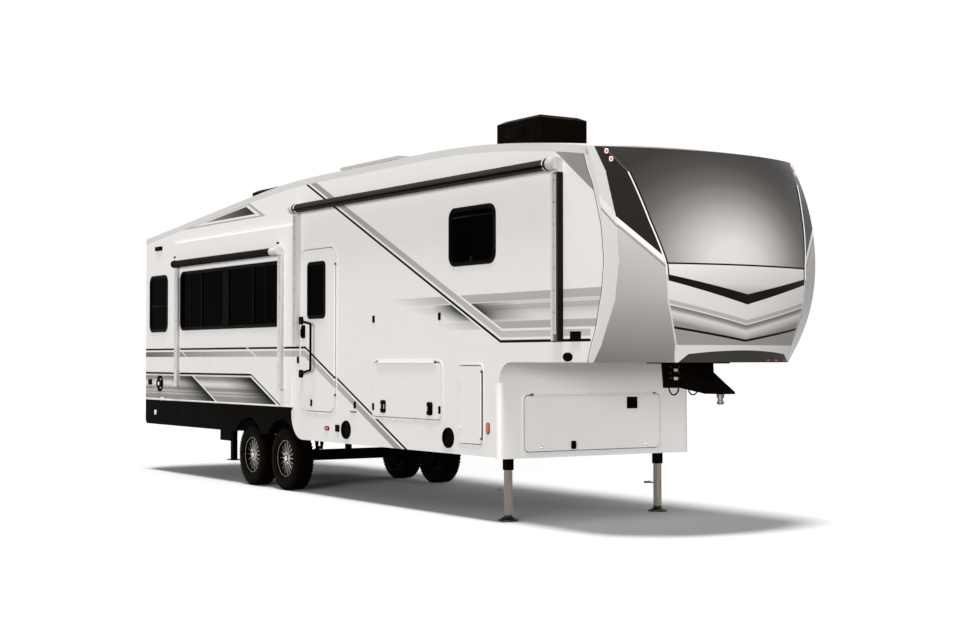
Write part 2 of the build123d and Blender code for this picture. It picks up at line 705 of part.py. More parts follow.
def axle(x):
    """A tube axle with a brake plate and a spindle at each end."""
    along = Pos(x, 0, TYRE_R) * Rot(90, 0, 0)
    body = along * Cylinder(SPINDLE_R, 2 * (TYRE_Y + HUB_FACE))
    body += along * Cylinder(AXLE_R, 2 * BRAKE_Y)
    for side in (-1, 1):
        end = Pos(x, side * (BRAKE_Y + BRAKE_PLATE / 2), TYRE_R) * Rot(90, 0, 0)
        body += end * Cylinder(BRAKE_R, BRAKE_PLATE)
    return body


def faceted_ring(outer, bore):
    """A many-sided ring about the Y axis. Each list holds radius and y, from one side to the other."""
    def stack(rings):
        turn = 180 / TYRE_SIDES
        planes = [Plane(origin=(0, y, 0), x_dir=(1, 0, 0), z_dir=(0, 1, 0)) for _, y in rings]
        outlines = [RegularPolygon(r, TYRE_SIDES, major_radius=False, rotation=turn) for r, _ in rings]
        return loft([plane * outline for plane, outline in zip(planes, outlines)], ruled=True)

    return stack(outer) - stack(bore)


def tyre(x, side):
    """A tyre with rounded shoulders and hollow sidewalls, in flat facets, open where its rim sits."""
    half = TYRE_W / 2
    rise = TYRE_R - RIM_R
    side_face = [(RIM_R + BULGE * rise, -half), (RIM_R + SHOULDER * rise, -SHOULDER_WIDTH * half),
                 (TYRE_R - TREAD_CROWN, -TREAD_HALF)]
    outer = side_face + [(TYRE_R, 0)] + [(r, -y) for r, y in reversed(side_face)]
    lip = [(RIM_R + HOLLOW * rise, -half), (RIM_R + BEAD, -RIM_HALF)]
    bore = lip + [(RIM_R + BEAD, RIM_HALF), (RIM_R + HOLLOW * rise, half)]
    return Pos(x, side * TYRE_Y, TYRE_R) * faceted_ring(outer, bore)


def rim(x, side):
    """An alloy wheel: barrel with a lipped edge, set-back face with slim spokes, and hub on the spindle."""
    face_front, face_back = RIM_HALF - FACE_SET, RIM_HALF - FACE_SET - FACE
    well_r = RIM_R - RIM_WALL
    hub_front, cap_front = face_front + FACE_CROWN, RIM_HALF + HUB_STAND
    bore_r, recess_r = SPINDLE_R + HUB_CLEAR, HUB_R - HUB_WALL
    with BuildSketch(Plane.XY) as profile:
        with BuildLine():
            Polyline(
                (RIM_R, -RIM_HALF), (RIM_R, RIM_HALF), (well_r, RIM_HALF), (well_r, face_front),
                (HUB_R, hub_front), (HUB_CAP_R, hub_front), (HUB_CAP_R, cap_front), (0, cap_front),
                (0, HUB_FACE + SEAM), (bore_r, HUB_FACE + SEAM), (bore_r, DRUM_BACK),
                (DRUM_R, DRUM_BACK), (DRUM_R, DRUM_FRONT), (recess_r, DRUM_FRONT),
                (recess_r, face_back), (well_r, face_back), (well_r, -RIM_HALF), close=True,
            )
        make_face()
    wheel = revolve(profile.sketch, Axis.Y)
    inner_r, outer_r = HUB_R + SLOT_EDGE, well_r - SLOT_EDGE
    with BuildSketch(Plane.XZ.offset(-face_back + FACE_CROWN)) as window:
        with BuildLine():
            Polyline((inner_r, SLOT_IN / 2), (outer_r, SLOT_OUT / 2), (outer_r, -SLOT_OUT / 2),
                     (inner_r, -SLOT_IN / 2), close=True)
        make_face()
    slot = extrude(window.sketch, -3 * FACE)
    for i in range(SPOKES):
        wheel -= Rot(0, i * 360 / SPOKES, 0) * slot
    turn = Rot(0, 0, 0) if side > 0 else Rot(0, 0, 180)
    return Pos(x, side * TYRE_Y, TYRE_R) * turn * wheel


def leaf_spring(x):
    """A bowed pack of leaves over its axle: an eye at its outer end, its inner end under the rocker."""
    middle_x = sum(AXLE_XS) / 2
    outward = 1 if x > middle_x else -1
    outer_x = x + outward * SPRING_HALF
    inner_x = x - outward * (SPRING_HALF - SPRING_REST)
    seat = TYRE_R + AXLE_R
    low = seat + SEAT_BLOCK
    body = None
    for share, top in LEAVES:
        a, b = x + (inner_x - x) * share, x + (outer_x - x) * share
        rise = SPRING_BOW * share ** 2
        z = low + (2 - top) * LEAF
        with BuildSketch(Plane.XZ.offset(RAIL_Y - SPRING_W / 2)) as leaf:
            with BuildLine():
                ThreePointArc((a, z + rise), (x, z), (b, z + rise))
                Line((b, z + rise), (b, z + rise + LEAF))
                ThreePointArc((b, z + rise + LEAF), (x, z + LEAF), (a, z + rise + LEAF))
                Line((a, z + rise + LEAF), (a, z + rise))
            make_face()
        piece = extrude(leaf.sketch, SPRING_W)
        body = piece if body is None else body + piece
    width = grown((-RAIL_Y, -RAIL_Y), SPRING_W / 2)
    body += block((x - SEAT_HALF, x + SEAT_HALF), width, (seat - SEAT_SINK, low + LEAF))
    eye_z = low + 2 * LEAF + SPRING_BOW + LEAF / 2
    eye = Pos(outer_x, -RAIL_Y, eye_z) * Rot(90, 0, 0)
    body += eye * Cylinder(EYE_R, SPRING_W)
    body -= eye * Cylinder(EYE_PIN_R + SEAM, SPRING_W + 2)
    body -= Pos(x, -RAIL_Y, TYRE_R) * Rot(90, 0, 0) * Cylinder(AXLE_R + SEAM, 2 * SPRING_W)
    return body, outer_x, inner_x, eye_z


def hanger(x, eye_z):
    """Two ears under a rail, with a pin through the spring's eye."""
    half = SPRING_W / 2 + SEAM
    with BuildSketch(Plane.XZ.offset(RAIL_Y - half - EAR)) as side:
        with BuildLine():
            Polyline((x - EAR_HALF, RAIL_LOW_Z), (x + EAR_HALF, RAIL_LOW_Z),
                     (x + EYE_R, eye_z - EYE_R), (x - EYE_R, eye_z - EYE_R), close=True)
        make_face()
    body = extrude(side.sketch, 2 * (half + EAR))
    between = block(grown((x, x), 2 * EAR_HALF), grown((-RAIL_Y, -RAIL_Y), half), (0, RAIL_LOW_Z - EAR_TOP))
    pin = Pos(x, -RAIL_Y, eye_z) * Rot(90, 0, 0) * Cylinder(EYE_PIN_R, 2 * (half + EAR))
    return body - between + pin


def equaliser(x, reach, end_z):
    """The rocker between the two springs, whose ends lie on theirs, and the hanger that it swings on."""
    half = SPRING_W / 2
    tip_z, top_z, notch_z = end_z + ROCKER_TIP, end_z + ROCKER_HIGH, end_z + ROCKER_NOTCH
    near, far = ROCKER_FLANK
    with BuildSketch(Plane.XZ.offset(RAIL_Y - half)) as side:
        with BuildLine():
            Polyline((x - reach, end_z), (x - reach, tip_z), (x - ROCKER_HALF, top_z),
                     (x + ROCKER_HALF, top_z), (x + reach, tip_z), (x + reach, end_z),
                     (x + far, end_z), (x + near, notch_z), (x - near, notch_z), (x - far, end_z),
                     close=True)
        make_face()
    post = block(grown((x, x), ROCKER_HALF), grown((-RAIL_Y, -RAIL_Y), half), (tip_z, RAIL_LOW_Z))
    return extrude(side.sketch, SPRING_W) + post


def landing_leg():
    """The right landing leg: outer tube on the rail, and inner tube with its foot and locking pin."""
    def square(size, low, high):
        return block(grown((LEG_X, LEG_X), size / 2), grown((-LEG_Y, -LEG_Y), size / 2), (low, high))

    bore = LEG_INNER + 2 * SEAM
    housing = square(LEG_OUTER, LEG_LOW_Z, LEG_TOP_Z) - square(bore, LEG_LOW_Z - 1, LEG_TOP_Z - LEG_WALL)
    tube = square(LEG_INNER, PAD / 2, LEG_TOP_Z - 2 * LEG_WALL)
    tube -= square(LEG_INNER - 2 * LEG_WALL, PAD, LEG_TOP_Z)
    tube += Pos(LEG_X, -LEG_Y, PAD / 4) * Cylinder(PAD_R, PAD / 2)
    tube += Pos(LEG_X, -LEG_Y, PAD * 3 / 4) * Cone(*PAD_CONE, PAD / 2)
    pin_x = LEG_X - LEG_INNER / 2 - LEG_PIN
    pin = Pos(pin_x + LEG_PIN / 2, -LEG_Y, LEG_PIN_Z) * Rot(0, 90, 0)
    tube += pin * Cylinder(LEG_PIN_R, LEG_PIN)
    handle_z = grown((LEG_PIN_Z, LEG_PIN_Z), LEG_PIN_GRIP)
    tube += block((pin_x - LEG_PIN_GRIP, pin_x), grown((-LEG_Y, -LEG_Y), LEG_PIN_GRIP_HALF), handle_z)
    return housing, tube


def stabiliser_jack():
    """A tube on a foot under the right rail, with its motor beside it. It stops short of the ground."""
    def under_rail(half_x, half_y, z):
        return block(grown((JACK_X, JACK_X), half_x), grown((-RAIL_Y, -RAIL_Y), half_y), z)

    foot_x, foot_y, foot = JACK_FOOT
    motor_x, motor_y, motor = JACK_MOTOR
    body = under_rail(JACK_TUBE / 2, JACK_TUBE / 2, (JACK_LOW_Z, RAIL_LOW_Z))
    body += under_rail(foot_x, foot_y, (JACK_LOW_Z - foot, JACK_LOW_Z))
    beside = Pos(-motor_x / 2, 0, 0)
    return body + beside * under_rail(motor_x / 2, motor_y / 2, (RAIL_LOW_Z - motor, RAIL_LOW_Z))


def roof_height(x, y):
    """Height of the roof's top at a place, near enough to seat a foot on it."""
    slope = math.tan(roof_slope())
    if x < RISE_END_X:
        edge = ROOF_REAR_Z + (x - REAR_X) * slope
    elif x < CREST_BACK_X:
        edge = ROOF_TOP_Z - (CREST_BACK_X - x) ** 2 * slope / (2 * (CREST_BACK_X - RISE_END_X))
    else:
        edge = ROOF_TOP_Z
    return edge + CROWN * (1 - (y / BODY_HALF) ** 2)


def on_roof(solid):
    """What is left of a solid above the roof."""
    over_coach = block((REAR_X - ROOF_LIP, NOSE_X), (-BODY_HALF, BODY_HALF), (DECK_LOW_Z, 2 * ROOF_TOP_Z))
    return solid - (roof_skin(-SEAM, BODY_HALF) & over_coach)


def air_conditioner(x, top):
    """A low box with bevelled top edges, leaning sides and rounded corners."""
    low = top - AC_HEIGHT - CROWN

    def outline(plane, ends, depth):
        first, last = ends
        with BuildSketch(plane) as face:
            with BuildLine():
                Polyline((first, low), (first + AC_LEAN, top - AC_BEVEL),
                         (first + AC_LEAN + 2 * AC_BEVEL, top), (last - AC_LEAN - 2 * AC_BEVEL, top),
                         (last - AC_LEAN, top - AC_BEVEL), (last, low), close=True)
            make_face()
        return extrude(face.sketch, -depth)

    shell = outline(Plane.XZ.offset(AC_HALF), x, 2 * AC_HALF)
    shell &= Pos(x[1], 0, 0) * outline(Plane.YZ, (-AC_HALF, AC_HALF), span(x))
    with BuildSketch(Plane.XY.offset(low)) as plan:
        with Locations((sum(x) / 2, 0)):
            RectangleRounded(span(x), 2 * AC_HALF, AC_CORNER_R)
    return on_roof(shell & extrude(plan.sketch, top - low))


def solar_panel():
    """A framed panel on short feet above the roof."""
    panel = block(SOLAR_X, SOLAR_Y, (SOLAR_Z - SOLAR, SOLAR_Z))
    for x in grown(SOLAR_X, -SOLAR_FOOT_IN):
        for y in grown(SOLAR_Y, -SOLAR_FOOT_IN):
            foot = (grown((x, x), SOLAR_FOOT / 2), grown((y, y), SOLAR_FOOT / 2))
            panel += on_roof(block(*foot, (ROOF_TOP_Z, SOLAR_Z - SOLAR)))
    return panel


def roof_vent(x, y):
    """A square vent with a bevelled lid."""
    base = roof_height(x, y)
    half, bevel = VENT / 2, VENT_BEVEL
    top = base + VENT_HIGH
    with BuildSketch(Plane.XZ.offset(-y - half)) as side:
        with BuildLine():
            Polyline((x - half, base - CROWN), (x - half, top - bevel), (x - half + bevel, top),
                     (x + half - bevel, top), (x + half, top - bevel), (x + half, base - CROWN),
                     close=True)
        make_face()
    return on_roof(extrude(side.sketch, -2 * half))


def awning_roller():
    """The rolled main awning between its arms, with an end cap beside each arm."""
    x = (AWNING_BACK_X[1] + SEAM, AWNING_FRONT_X[0] - SEAM)
    roll = Pos(sum(x) / 2, AWNING_Y, AWNING_Z) * Rot(0, 90, 0) * Cylinder(AWNING_R, span(x))
    for end in (x[0] + AWNING_CAP / 2, x[1] - AWNING_CAP / 2):
        roll += Pos(end, AWNING_Y, AWNING_Z) * Rot(0, 90, 0) * Cylinder(AWNING_HEAD_R, AWNING_CAP)
    return roll


def awning_arm(x):
    """A channel arm against the wall with a head that holds the roller's end."""
    arm = block(x, (-BODY_HALF - AWNING_DEEP, -BODY_HALF), (AWNING_LOW_Z, AWNING_Z))
    groove = grown(x, -span(x) / 4)
    groove_z = (AWNING_LOW_Z + AWNING_HEAD_R, AWNING_Z - 1.5 * AWNING_HEAD_R)
    arm -= block(groove, (-BODY_HALF - AWNING_DEEP - 1, -BODY_HALF - AWNING_DEEP / 2), groove_z)
    head = Pos(sum(x) / 2, AWNING_Y, AWNING_Z) * Rot(0, 90, 0) * Cylinder(AWNING_HEAD_R, span(x))
    foot = block(x, (-BODY_HALF - AWNING_DEEP, -BODY_HALF), (AWNING_Z - 1, AWNING_Z + AWNING_R))
    return arm + head + foot


def slide_room():
    """The right slide-out: a box open to the coach, whose outer face laps the wall round the opening."""
    out = -BODY_HALF - SLIDE_PROUD
    room = block(SLIDE_X, (out, out + SLIDE_DEPTH), SLIDE_Z)
    inside_y = (out + SLIDE_WALL, out + SLIDE_DEPTH + 1)
    room -= block(grown(SLIDE_X, -SLIDE_WALL), inside_y, grown(SLIDE_Z, -SLIDE_WALL))
    face_z = (SLIDE_Z[0], SLIDE_Z[1] + SLIDE_LAP_TOP)
    room += block(grown(SLIDE_X, SLIDE_LAP), (out, -BODY_HALF - SLIDE_SEAL), face_z)
    hole = rounded_slab(SLIDE_WINDOW_X, SLIDE_WINDOW_Z, (out - 1, out + SLIDE_WALL + 1), WINDOW_R)
    return room - hole


def slide_window():
    middle_x = sum(SLIDE_WINDOW_X) / 2
    bars = [(x - middle_x, bar) for x, bar in SLIDE_MULLIONS]
    place = Pos(middle_x, -BODY_HALF - SLIDE_PROUD, sum(SLIDE_WINDOW_Z) / 2)
    size = (span(SLIDE_WINDOW_X), span(SLIDE_WINDOW_Z))
    return [place * piece for piece in window_parts(*size, WINDOW_R, bars)]


def slide_awning():
    """The small awning rolled up over the slide-out, and its two arms down the slide-out's face."""
    out = -BODY_HALF - SLIDE_PROUD
    x, z = SLIDE_AWNING_X, SLIDE_AWNING_Z
    turned = Rot(0, 90, 0)
    body = Pos(sum(x) / 2, out - SLIDE_AWNING_OUT, z) * turned * Cylinder(SLIDE_AWNING_R, span(x))
    head_z = (z - SLIDE_AWNING_R, z + SLIDE_HEAD_UP)
    for middle in x:
        arm_x = grown((middle, middle), SLIDE_ARM / 2)
        body += block(arm_x, (out - SLIDE_ARM_DEEP, out), (SLIDE_ARM_LOW_Z, z))
        body += block(arm_x, (out - SLIDE_AWNING_OUT, out), head_z)
        body += Pos(middle, out - SLIDE_AWNING_OUT, z) * turned * Cylinder(SLIDE_HEAD_R, SLIDE_ARM)
    return body


def slide_rollers():
    """Rollers along the floor's edge that the slide-out's floor runs on."""
    r = (SLIDE_Z[0] - SEAM - FLOOR_TOP) / 2
    pitch = (span(SLIDE_X) - 2 * ROLLER_W) / (ROLLERS - 1)
    for i in range(ROLLERS):
        x = SLIDE_X[0] + ROLLER_W + i * pitch
        yield Pos(x, -INSIDE_HALF + 2 * r, FLOOR_TOP + r) * Rot(0, 90, 0) * Cylinder(r, ROLLER_W)


def hinged_leaf(width, height, radius, barrel_length, on_top):
    """A flush door leaf with a lipped face and the hinge barrel along its front or top edge.

    It is centred on the origin with the wall's outer face at y = 0 and the outside at -Y.
    """
    outline = RectangleRounded(width, height, radius)
    leaf = extrude(Plane.XZ.offset(PROUD) * outline, -PROUD - LEAF_DEEP)
    length = barrel_length
    edge = (height if on_top else width) / 2
    barrel = Cylinder(BARREL_R, length) - Cylinder(HINGE_R + SEAM, length + 1)
    wing = block((edge - WING, edge + HINGE_OFF), (-HINGE_OUT, -PROUD), (-length / 2, length / 2))
    wing -= Pos(edge + HINGE_OFF, -HINGE_OUT, 0) * Cylinder(HINGE_R + SEAM, length + 1)
    hinge = Pos(edge + HINGE_OFF, -HINGE_OUT, 0) * barrel + wing
    return leaf + (Rot(0, -90, 0) * hinge if on_top else hinge)


def hinge_pin(width, height, barrel_length, on_top):
    """The pin through a leaf's barrel, with a bracket at each end on the wall."""
    edge = (height if on_top else width) / 2
    length = barrel_length + 2 * HINGE_TAB
    pin = Cylinder(HINGE_R, length)
    tab_x = (HINGE_TAB_IN, HINGE_TAB_OUT)
    for end in (-1, 1):
        z = sorted((end * (barrel_length / 2 + SEAM), end * length / 2))
        pin += block(tab_x, (-HINGE_R, HINGE_OUT), z)
    placed = Pos(edge + HINGE_OFF, -HINGE_OUT, 0) * pin
    return Rot(0, -90, 0) * placed if on_top else placed


def entry_door():
    size = (span(DOOR_X), span(DOOR_Z))
    place = on_right(DOOR_X, DOOR_Z)
    leaf = place * hinged_leaf(*size, DOOR_R, size[1] - 3 * DOOR_R, False)
    window_place = on_right(DOOR_WINDOW_X, DOOR_WINDOW_Z) * Pos(0, -PROUD, 0)
    frame, pane = window_parts(span(DOOR_WINDOW_X), span(DOOR_WINDOW_Z), SMALL_R)
    leaf -= rounded_slab(DOOR_WINDOW_X, DOOR_WINDOW_Z, (-BODY_HALF - PROUD - 1, -INSIDE_HALF + 1), SMALL_R)
    pin = place * hinge_pin(*size, size[1] - 3 * DOOR_R, False)
    return leaf, window_place * frame, window_place * pane, pin


def grab_handle():
    """A bowed bar standing off the entry door."""
    face = -BODY_HALF - PROUD
    z0, z1 = GRAB_Z
    x0, x1 = GRAB_X
    reach = face - GRAB_OUT
    bend_x, bend_z = x0 + GRAB_BEND, (z0 + 2 * GRAB_BEND / 3, z1 - 2 * GRAB_BEND / 3)
    path = FilletPolyline((x0, face, z0), (bend_x, reach, z0), (x1, reach, bend_z[0]),
                          (x1, reach, bend_z[1]), (bend_x, reach, z1), (x0, face, z1), radius=GRAB_BEND_R)
    bar = sweep(Plane(origin=path @ 0, z_dir=path % 0) * Circle(GRAB_R), path=path)
    bar -= block(grown((x0, x1), GRAB_OUT), (face, face + GRAB_OUT), grown((z0, z1), GRAB_OUT))
    for z in GRAB_Z:
        bar += Pos(x0, face - GRAB_FOOT / 2, z) * Rot(90, 0, 0) * Cylinder(GRAB_FOOT_R, GRAB_FOOT)
    return bar


def latch_box(x, z, width, height):
    """A latch or lock on one of the right side wall's doors."""
    face = -BODY_HALF - PROUD
    return block(grown((x, x), width / 2), (face - LATCH_DEEP, face), grown((z, z), height / 2))


def rear_bumper():
    """A square tube across the rear."""
    x = (REAR_X - BUMPER_STEM - BUMPER, REAR_X - BUMPER_STEM)
    z = (BUMPER_LOW_Z, BUMPER_LOW_Z + BUMPER)
    tube = block(x, (-BUMPER_HALF, BUMPER_HALF), z)
    return tube - block(grown(x, -BUMPER_WALL), (-BUMPER_HALF - 1, BUMPER_HALF + 1), grown(z, -BUMPER_WALL))


def rear_ladder():
    """Two tubes up the rear wall, bent over the roof's edge, with rungs between them."""
    out, over = REAR_X - LADDER_OUT, REAR_X + LADDER_OVER
    roof_z = ROOF_REAR_Z + CROWN
    top = roof_z + LADDER_OUT
    ladder = None
    for y in LADDER_Y:
        path = FilletPolyline((REAR_X, y, LADDER_LOW_Z), (out, y, LADDER_LOW_Z), (out, y, top),
                              (over, y, top), (over, y, ROOF_REAR_Z), radius=LADDER_BEND_R)
        tube = sweep(Plane(origin=path @ 0, z_dir=path % 0) * Circle(LADDER_R), path=path)
        stay = Pos((out + REAR_X) / 2, y, LADDER_STAY_Z) * Rot(0, 90, 0)
        tube += stay * Cylinder(RUNG_R, LADDER_OUT)
        ladder = tube if ladder is None else ladder + tube
    pitch = (roof_z - LADDER_LOW_Z) / RUNGS
    for i in range(RUNGS):
        rung = Pos(out, sum(LADDER_Y) / 2, LADDER_LOW_Z + (i + 0.5) * pitch) * Rot(90, 0, 0)
        ladder += rung * Cylinder(RUNG_R, span(LADDER_Y))
    inside = block((REAR_X, REAR_X + 2 * WALL), (-BODY_HALF, BODY_HALF), (0, ROOF_REAR_Z))
    return on_roof(ladder) - inside


def tail_lamp():
    outline = Plane.YZ.offset(REAR_X) * RectangleRounded(LAMP_W, LAMP_H, LAMP_R)
    return Pos(0, LAMP_Y, LAMP_Z) * extrude(outline, -LAMP_DEEP)


def speakers():
    """Round outdoor speakers on the right side wall, each a rim round a sunk grille."""
    deep = SPEAKER_DEEP
    for x in SPEAKER_XS:
        place = Pos(x, -BODY_HALF - deep / 2, SPEAKER_Z) * Rot(90, 0, 0)
        sunk = Pos(0, 0, deep / 2) * Cylinder(SPEAKER_R - SPEAKER_RIM, deep)
        yield place * Cylinder(SPEAKER_R, deep) - place * sunk


def hookup_port():
    """A round flange with a lid that stands out of it."""
    lid_r, lid_face_r = PORT_LID
    place = Pos(PORT_X, -BODY_HALF - PORT_DEEP / 2, PORT_Z) * Rot(90, 0, 0)
    lid = place * Pos(0, 0, PORT_DEEP / 2 + PORT_LID_DEEP / 2) * Cone(lid_r, lid_face_r, PORT_LID_DEEP)
    return place * Cylinder(PORT_R, PORT_DEEP) + lid


def side_covers():
    """Small covers of sockets and lamps on the right side wall."""
    for x, z, width, height in SIDE_COVERS:
        y = (-BODY_HALF - COVER_DEEP, -BODY_HALF)
        yield block(grown((x, x), width / 2), y, grown((z, z), height / 2))


def build():
    """Every node's name and its solids."""
    nodes = {}
    nodes["frame_rails"] = frame_rails()
    nodes["cross_members"] = list(cross_members())
    main, tray, belly = floors()
    nodes["floors"], nodes["underbelly"] = [main, tray], [belly]
    nodes["partitions"] = list(partitions())
    nodes["upper_deck"] = [upper_deck()]
    nodes["side_wall_right"], nodes["side_wall_left"] = [[wall] for wall in side_walls()]
    nodes["rear_wall"] = [rear_wall()]
    nodes["roof"] = [roof()]
    nodes["nose_cap"] = [nose_cap()]
    nodes["lower_front_wall"] = [lower_front_wall()]
    nodes["skirts"] = both_sides(skirt())
    nodes["coach_window_frames"], nodes["coach_window_panes"] = coach_windows()
    nodes["pin_box"] = [pin_box()]
    nodes["king_pin"] = [king_pin()]
    nodes["axles"] = [axle(x) for x in AXLE_XS]

    springs, hangers, inner = [], [], []
    for x in AXLE_XS:
        spring, outer_x, inner_x, eye_z = leaf_spring(x)
        springs += both_sides(spring)
        hangers += both_sides(hanger(outer_x, eye_z))
        inner.append(inner_x)
    middle = sum(AXLE_XS) / 2
    rocker = equaliser(middle, abs(inner[0] - middle) + ROCKER_LAP, eye_z + LEAF / 2 + SEAM)
    hangers += both_sides(rocker)
    nodes["leaf_springs"], nodes["spring_hangers"] = springs, hangers

    for name, piece in zip(("leg_housings", "leg_tubes"), landing_leg()):
        nodes[name] = both_sides(piece)
    nodes["stabiliser_jacks"] = both_sides(stabiliser_jack())
    nodes["air_conditioners"] = [air_conditioner(*place) for place in AC_PLACES]
    nodes["solar_panel"] = [solar_panel()]
    nodes["roof_vents"] = [roof_vent(*place) for place in VENT_PLACES]
    nodes["awning_roller"] = [awning_roller()]
    nodes["awning_arms"] = [awning_arm(x) for x in (AWNING_BACK_X, AWNING_FRONT_X)]
    nodes["rear_bumper"] = [rear_bumper()]
    nodes["rear_ladder"] = [rear_ladder()]
    nodes["tail_lamps"] = both_sides(tail_lamp())
    nodes["side_fittings"] = list(speakers()) + [hookup_port()] + list(side_covers())
    nodes["slide_rollers"] = [side for roller in slide_rollers() for side in both_sides(roller)]

    room, frame_and_pane, awning = slide_room(), slide_window(), slide_awning()
    for side, turn in (("right", lambda piece: piece), ("left", lambda piece: piece.mirror(Plane.XZ))):
        nodes["slide_room_" + side] = [turn(room)]
        nodes["slide_window_frame_" + side] = [turn(frame_and_pane[0])]
        nodes["slide_window_pane_" + side] = [turn(frame_and_pane[1])]
        nodes["slide_awning_" + side] = [turn(awning)]

    leaf, frame, pane, door_pin = entry_door()
    nodes["entry_door_leaf"] = [leaf + latch_box(LATCH_X, LATCH_Z, *LATCH)]
    nodes["entry_door_window"] = [frame]
    nodes["entry_door_pane"] = [pane]
    nodes["entry_grab_handle"] = [grab_handle()]

    baggage = (span(BAGGAGE_X), span(BAGGAGE_Z))
    baggage_barrel = baggage[0] - 4 * BAGGAGE_R
    place = on_right(BAGGAGE_X, BAGGAGE_Z)
    leaf = place * hinged_leaf(*baggage, BAGGAGE_R, baggage_barrel, True)
    for x in BAGGAGE_LATCH_XS:
        leaf += latch_box(x, BAGGAGE_LATCH_Z, *BAGGAGE_LATCH)
    nodes["baggage_door_right"], nodes["baggage_door_left"] = [[side] for side in both_sides(leaf)]
    pins = [door_pin] + both_sides(place * hinge_pin(*baggage, baggage_barrel, True))

    gas = (span(GAS_X), span(GAS_Z))
    gas_barrel = gas[1] - 3 * SMALL_R
    place = on_right(GAS_X, GAS_Z)
    nodes["gas_locker_door"] = [place * hinged_leaf(*gas, SMALL_R, gas_barrel, False)]
    pins.append(place * hinge_pin(*gas, gas_barrel, False))

    front = (span(FRONT_DOOR_Y), span(FRONT_DOOR_Z))
    front_barrel = front[0] - 4 * SMALL_R
    place = Pos(FRONT_X, sum(FRONT_DOOR_Y) / 2, sum(FRONT_DOOR_Z) / 2) * Rot(0, 0, 90)
    nodes["front_baggage_door"] = [place * hinged_leaf(*front, SMALL_R, front_barrel, True)]
    pins.append(place * hinge_pin(*front, front_barrel, True))
    nodes["hinge_pins"] = pins

    for end, x in zip(("front", "rear"), AXLE_XS):
        for side, sign in (("right", -1), ("left", 1)):
            nodes["tyre_" + end + "_" + side] = [tyre(x, sign)]
            nodes["rim_" + end + "_" + side] = [rim(x, sign)]
    return nodes


os.makedirs("parts", exist_ok=True)
for node_name, node_solids in build().items():
    save(node_name, *node_solids)
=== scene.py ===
# %% [markdown]
# # A fifth wheel trailer, dressed
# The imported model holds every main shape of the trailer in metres, with X forward, Y to the left and
# Z up from the ground. This notebook gives those shapes their paint, glass and rubber, and models the
# small pieces that only the looks need. Each step says what the real thing is and why it is made so.

# %% Load the frame
import math
import bmesh
import bpy
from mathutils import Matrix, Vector


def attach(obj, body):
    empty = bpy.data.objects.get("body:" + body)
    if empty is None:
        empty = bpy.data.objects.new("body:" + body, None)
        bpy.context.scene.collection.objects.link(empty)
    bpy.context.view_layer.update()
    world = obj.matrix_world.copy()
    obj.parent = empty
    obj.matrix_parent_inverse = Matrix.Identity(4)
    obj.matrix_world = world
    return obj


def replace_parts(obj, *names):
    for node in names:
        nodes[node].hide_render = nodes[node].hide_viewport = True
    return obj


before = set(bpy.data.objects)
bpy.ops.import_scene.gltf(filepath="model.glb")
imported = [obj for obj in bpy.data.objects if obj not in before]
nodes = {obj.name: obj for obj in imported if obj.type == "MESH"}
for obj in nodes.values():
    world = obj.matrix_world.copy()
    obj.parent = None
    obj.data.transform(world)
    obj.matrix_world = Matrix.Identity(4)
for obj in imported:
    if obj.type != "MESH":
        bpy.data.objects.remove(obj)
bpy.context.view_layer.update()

# %% [markdown]
# A studio photograph of a long vehicle is taken from far off, at a low eye height. The lens is worked
# out from the picture's vanishing points, and the camera looks across the door side at the nose.

# %% Camera
FOCAL_PX = 1602.0
PICTURE_PX = 960
SENSOR_MM = 36.0
AZIMUTH = math.radians(57.0)
TILT = math.radians(1.4)
EYE = (16.737, -9.958, 1.62)

camera_data = bpy.data.cameras.new("camera")
camera_data.sensor_width = SENSOR_MM
camera_data.lens = FOCAL_PX / PICTURE_PX * SENSOR_MM
camera = bpy.data.objects.new("camera", camera_data)
bpy.context.scene.collection.objects.link(camera)
camera.location = EYE
camera.rotation_euler = (math.pi / 2 + TILT, 0, AZIMUTH)
bpy.context.scene.camera = camera
print("lens", round(camera_data.lens, 2))

# %% [markdown]
# Shader maths is easier to read as Python than as a list of nodes. This class wraps one output of a
# node: arithmetic on it adds Math nodes, and one method adds any other node, its settings first.

# %% A wrapper for shader maths
EDGE = 0.003


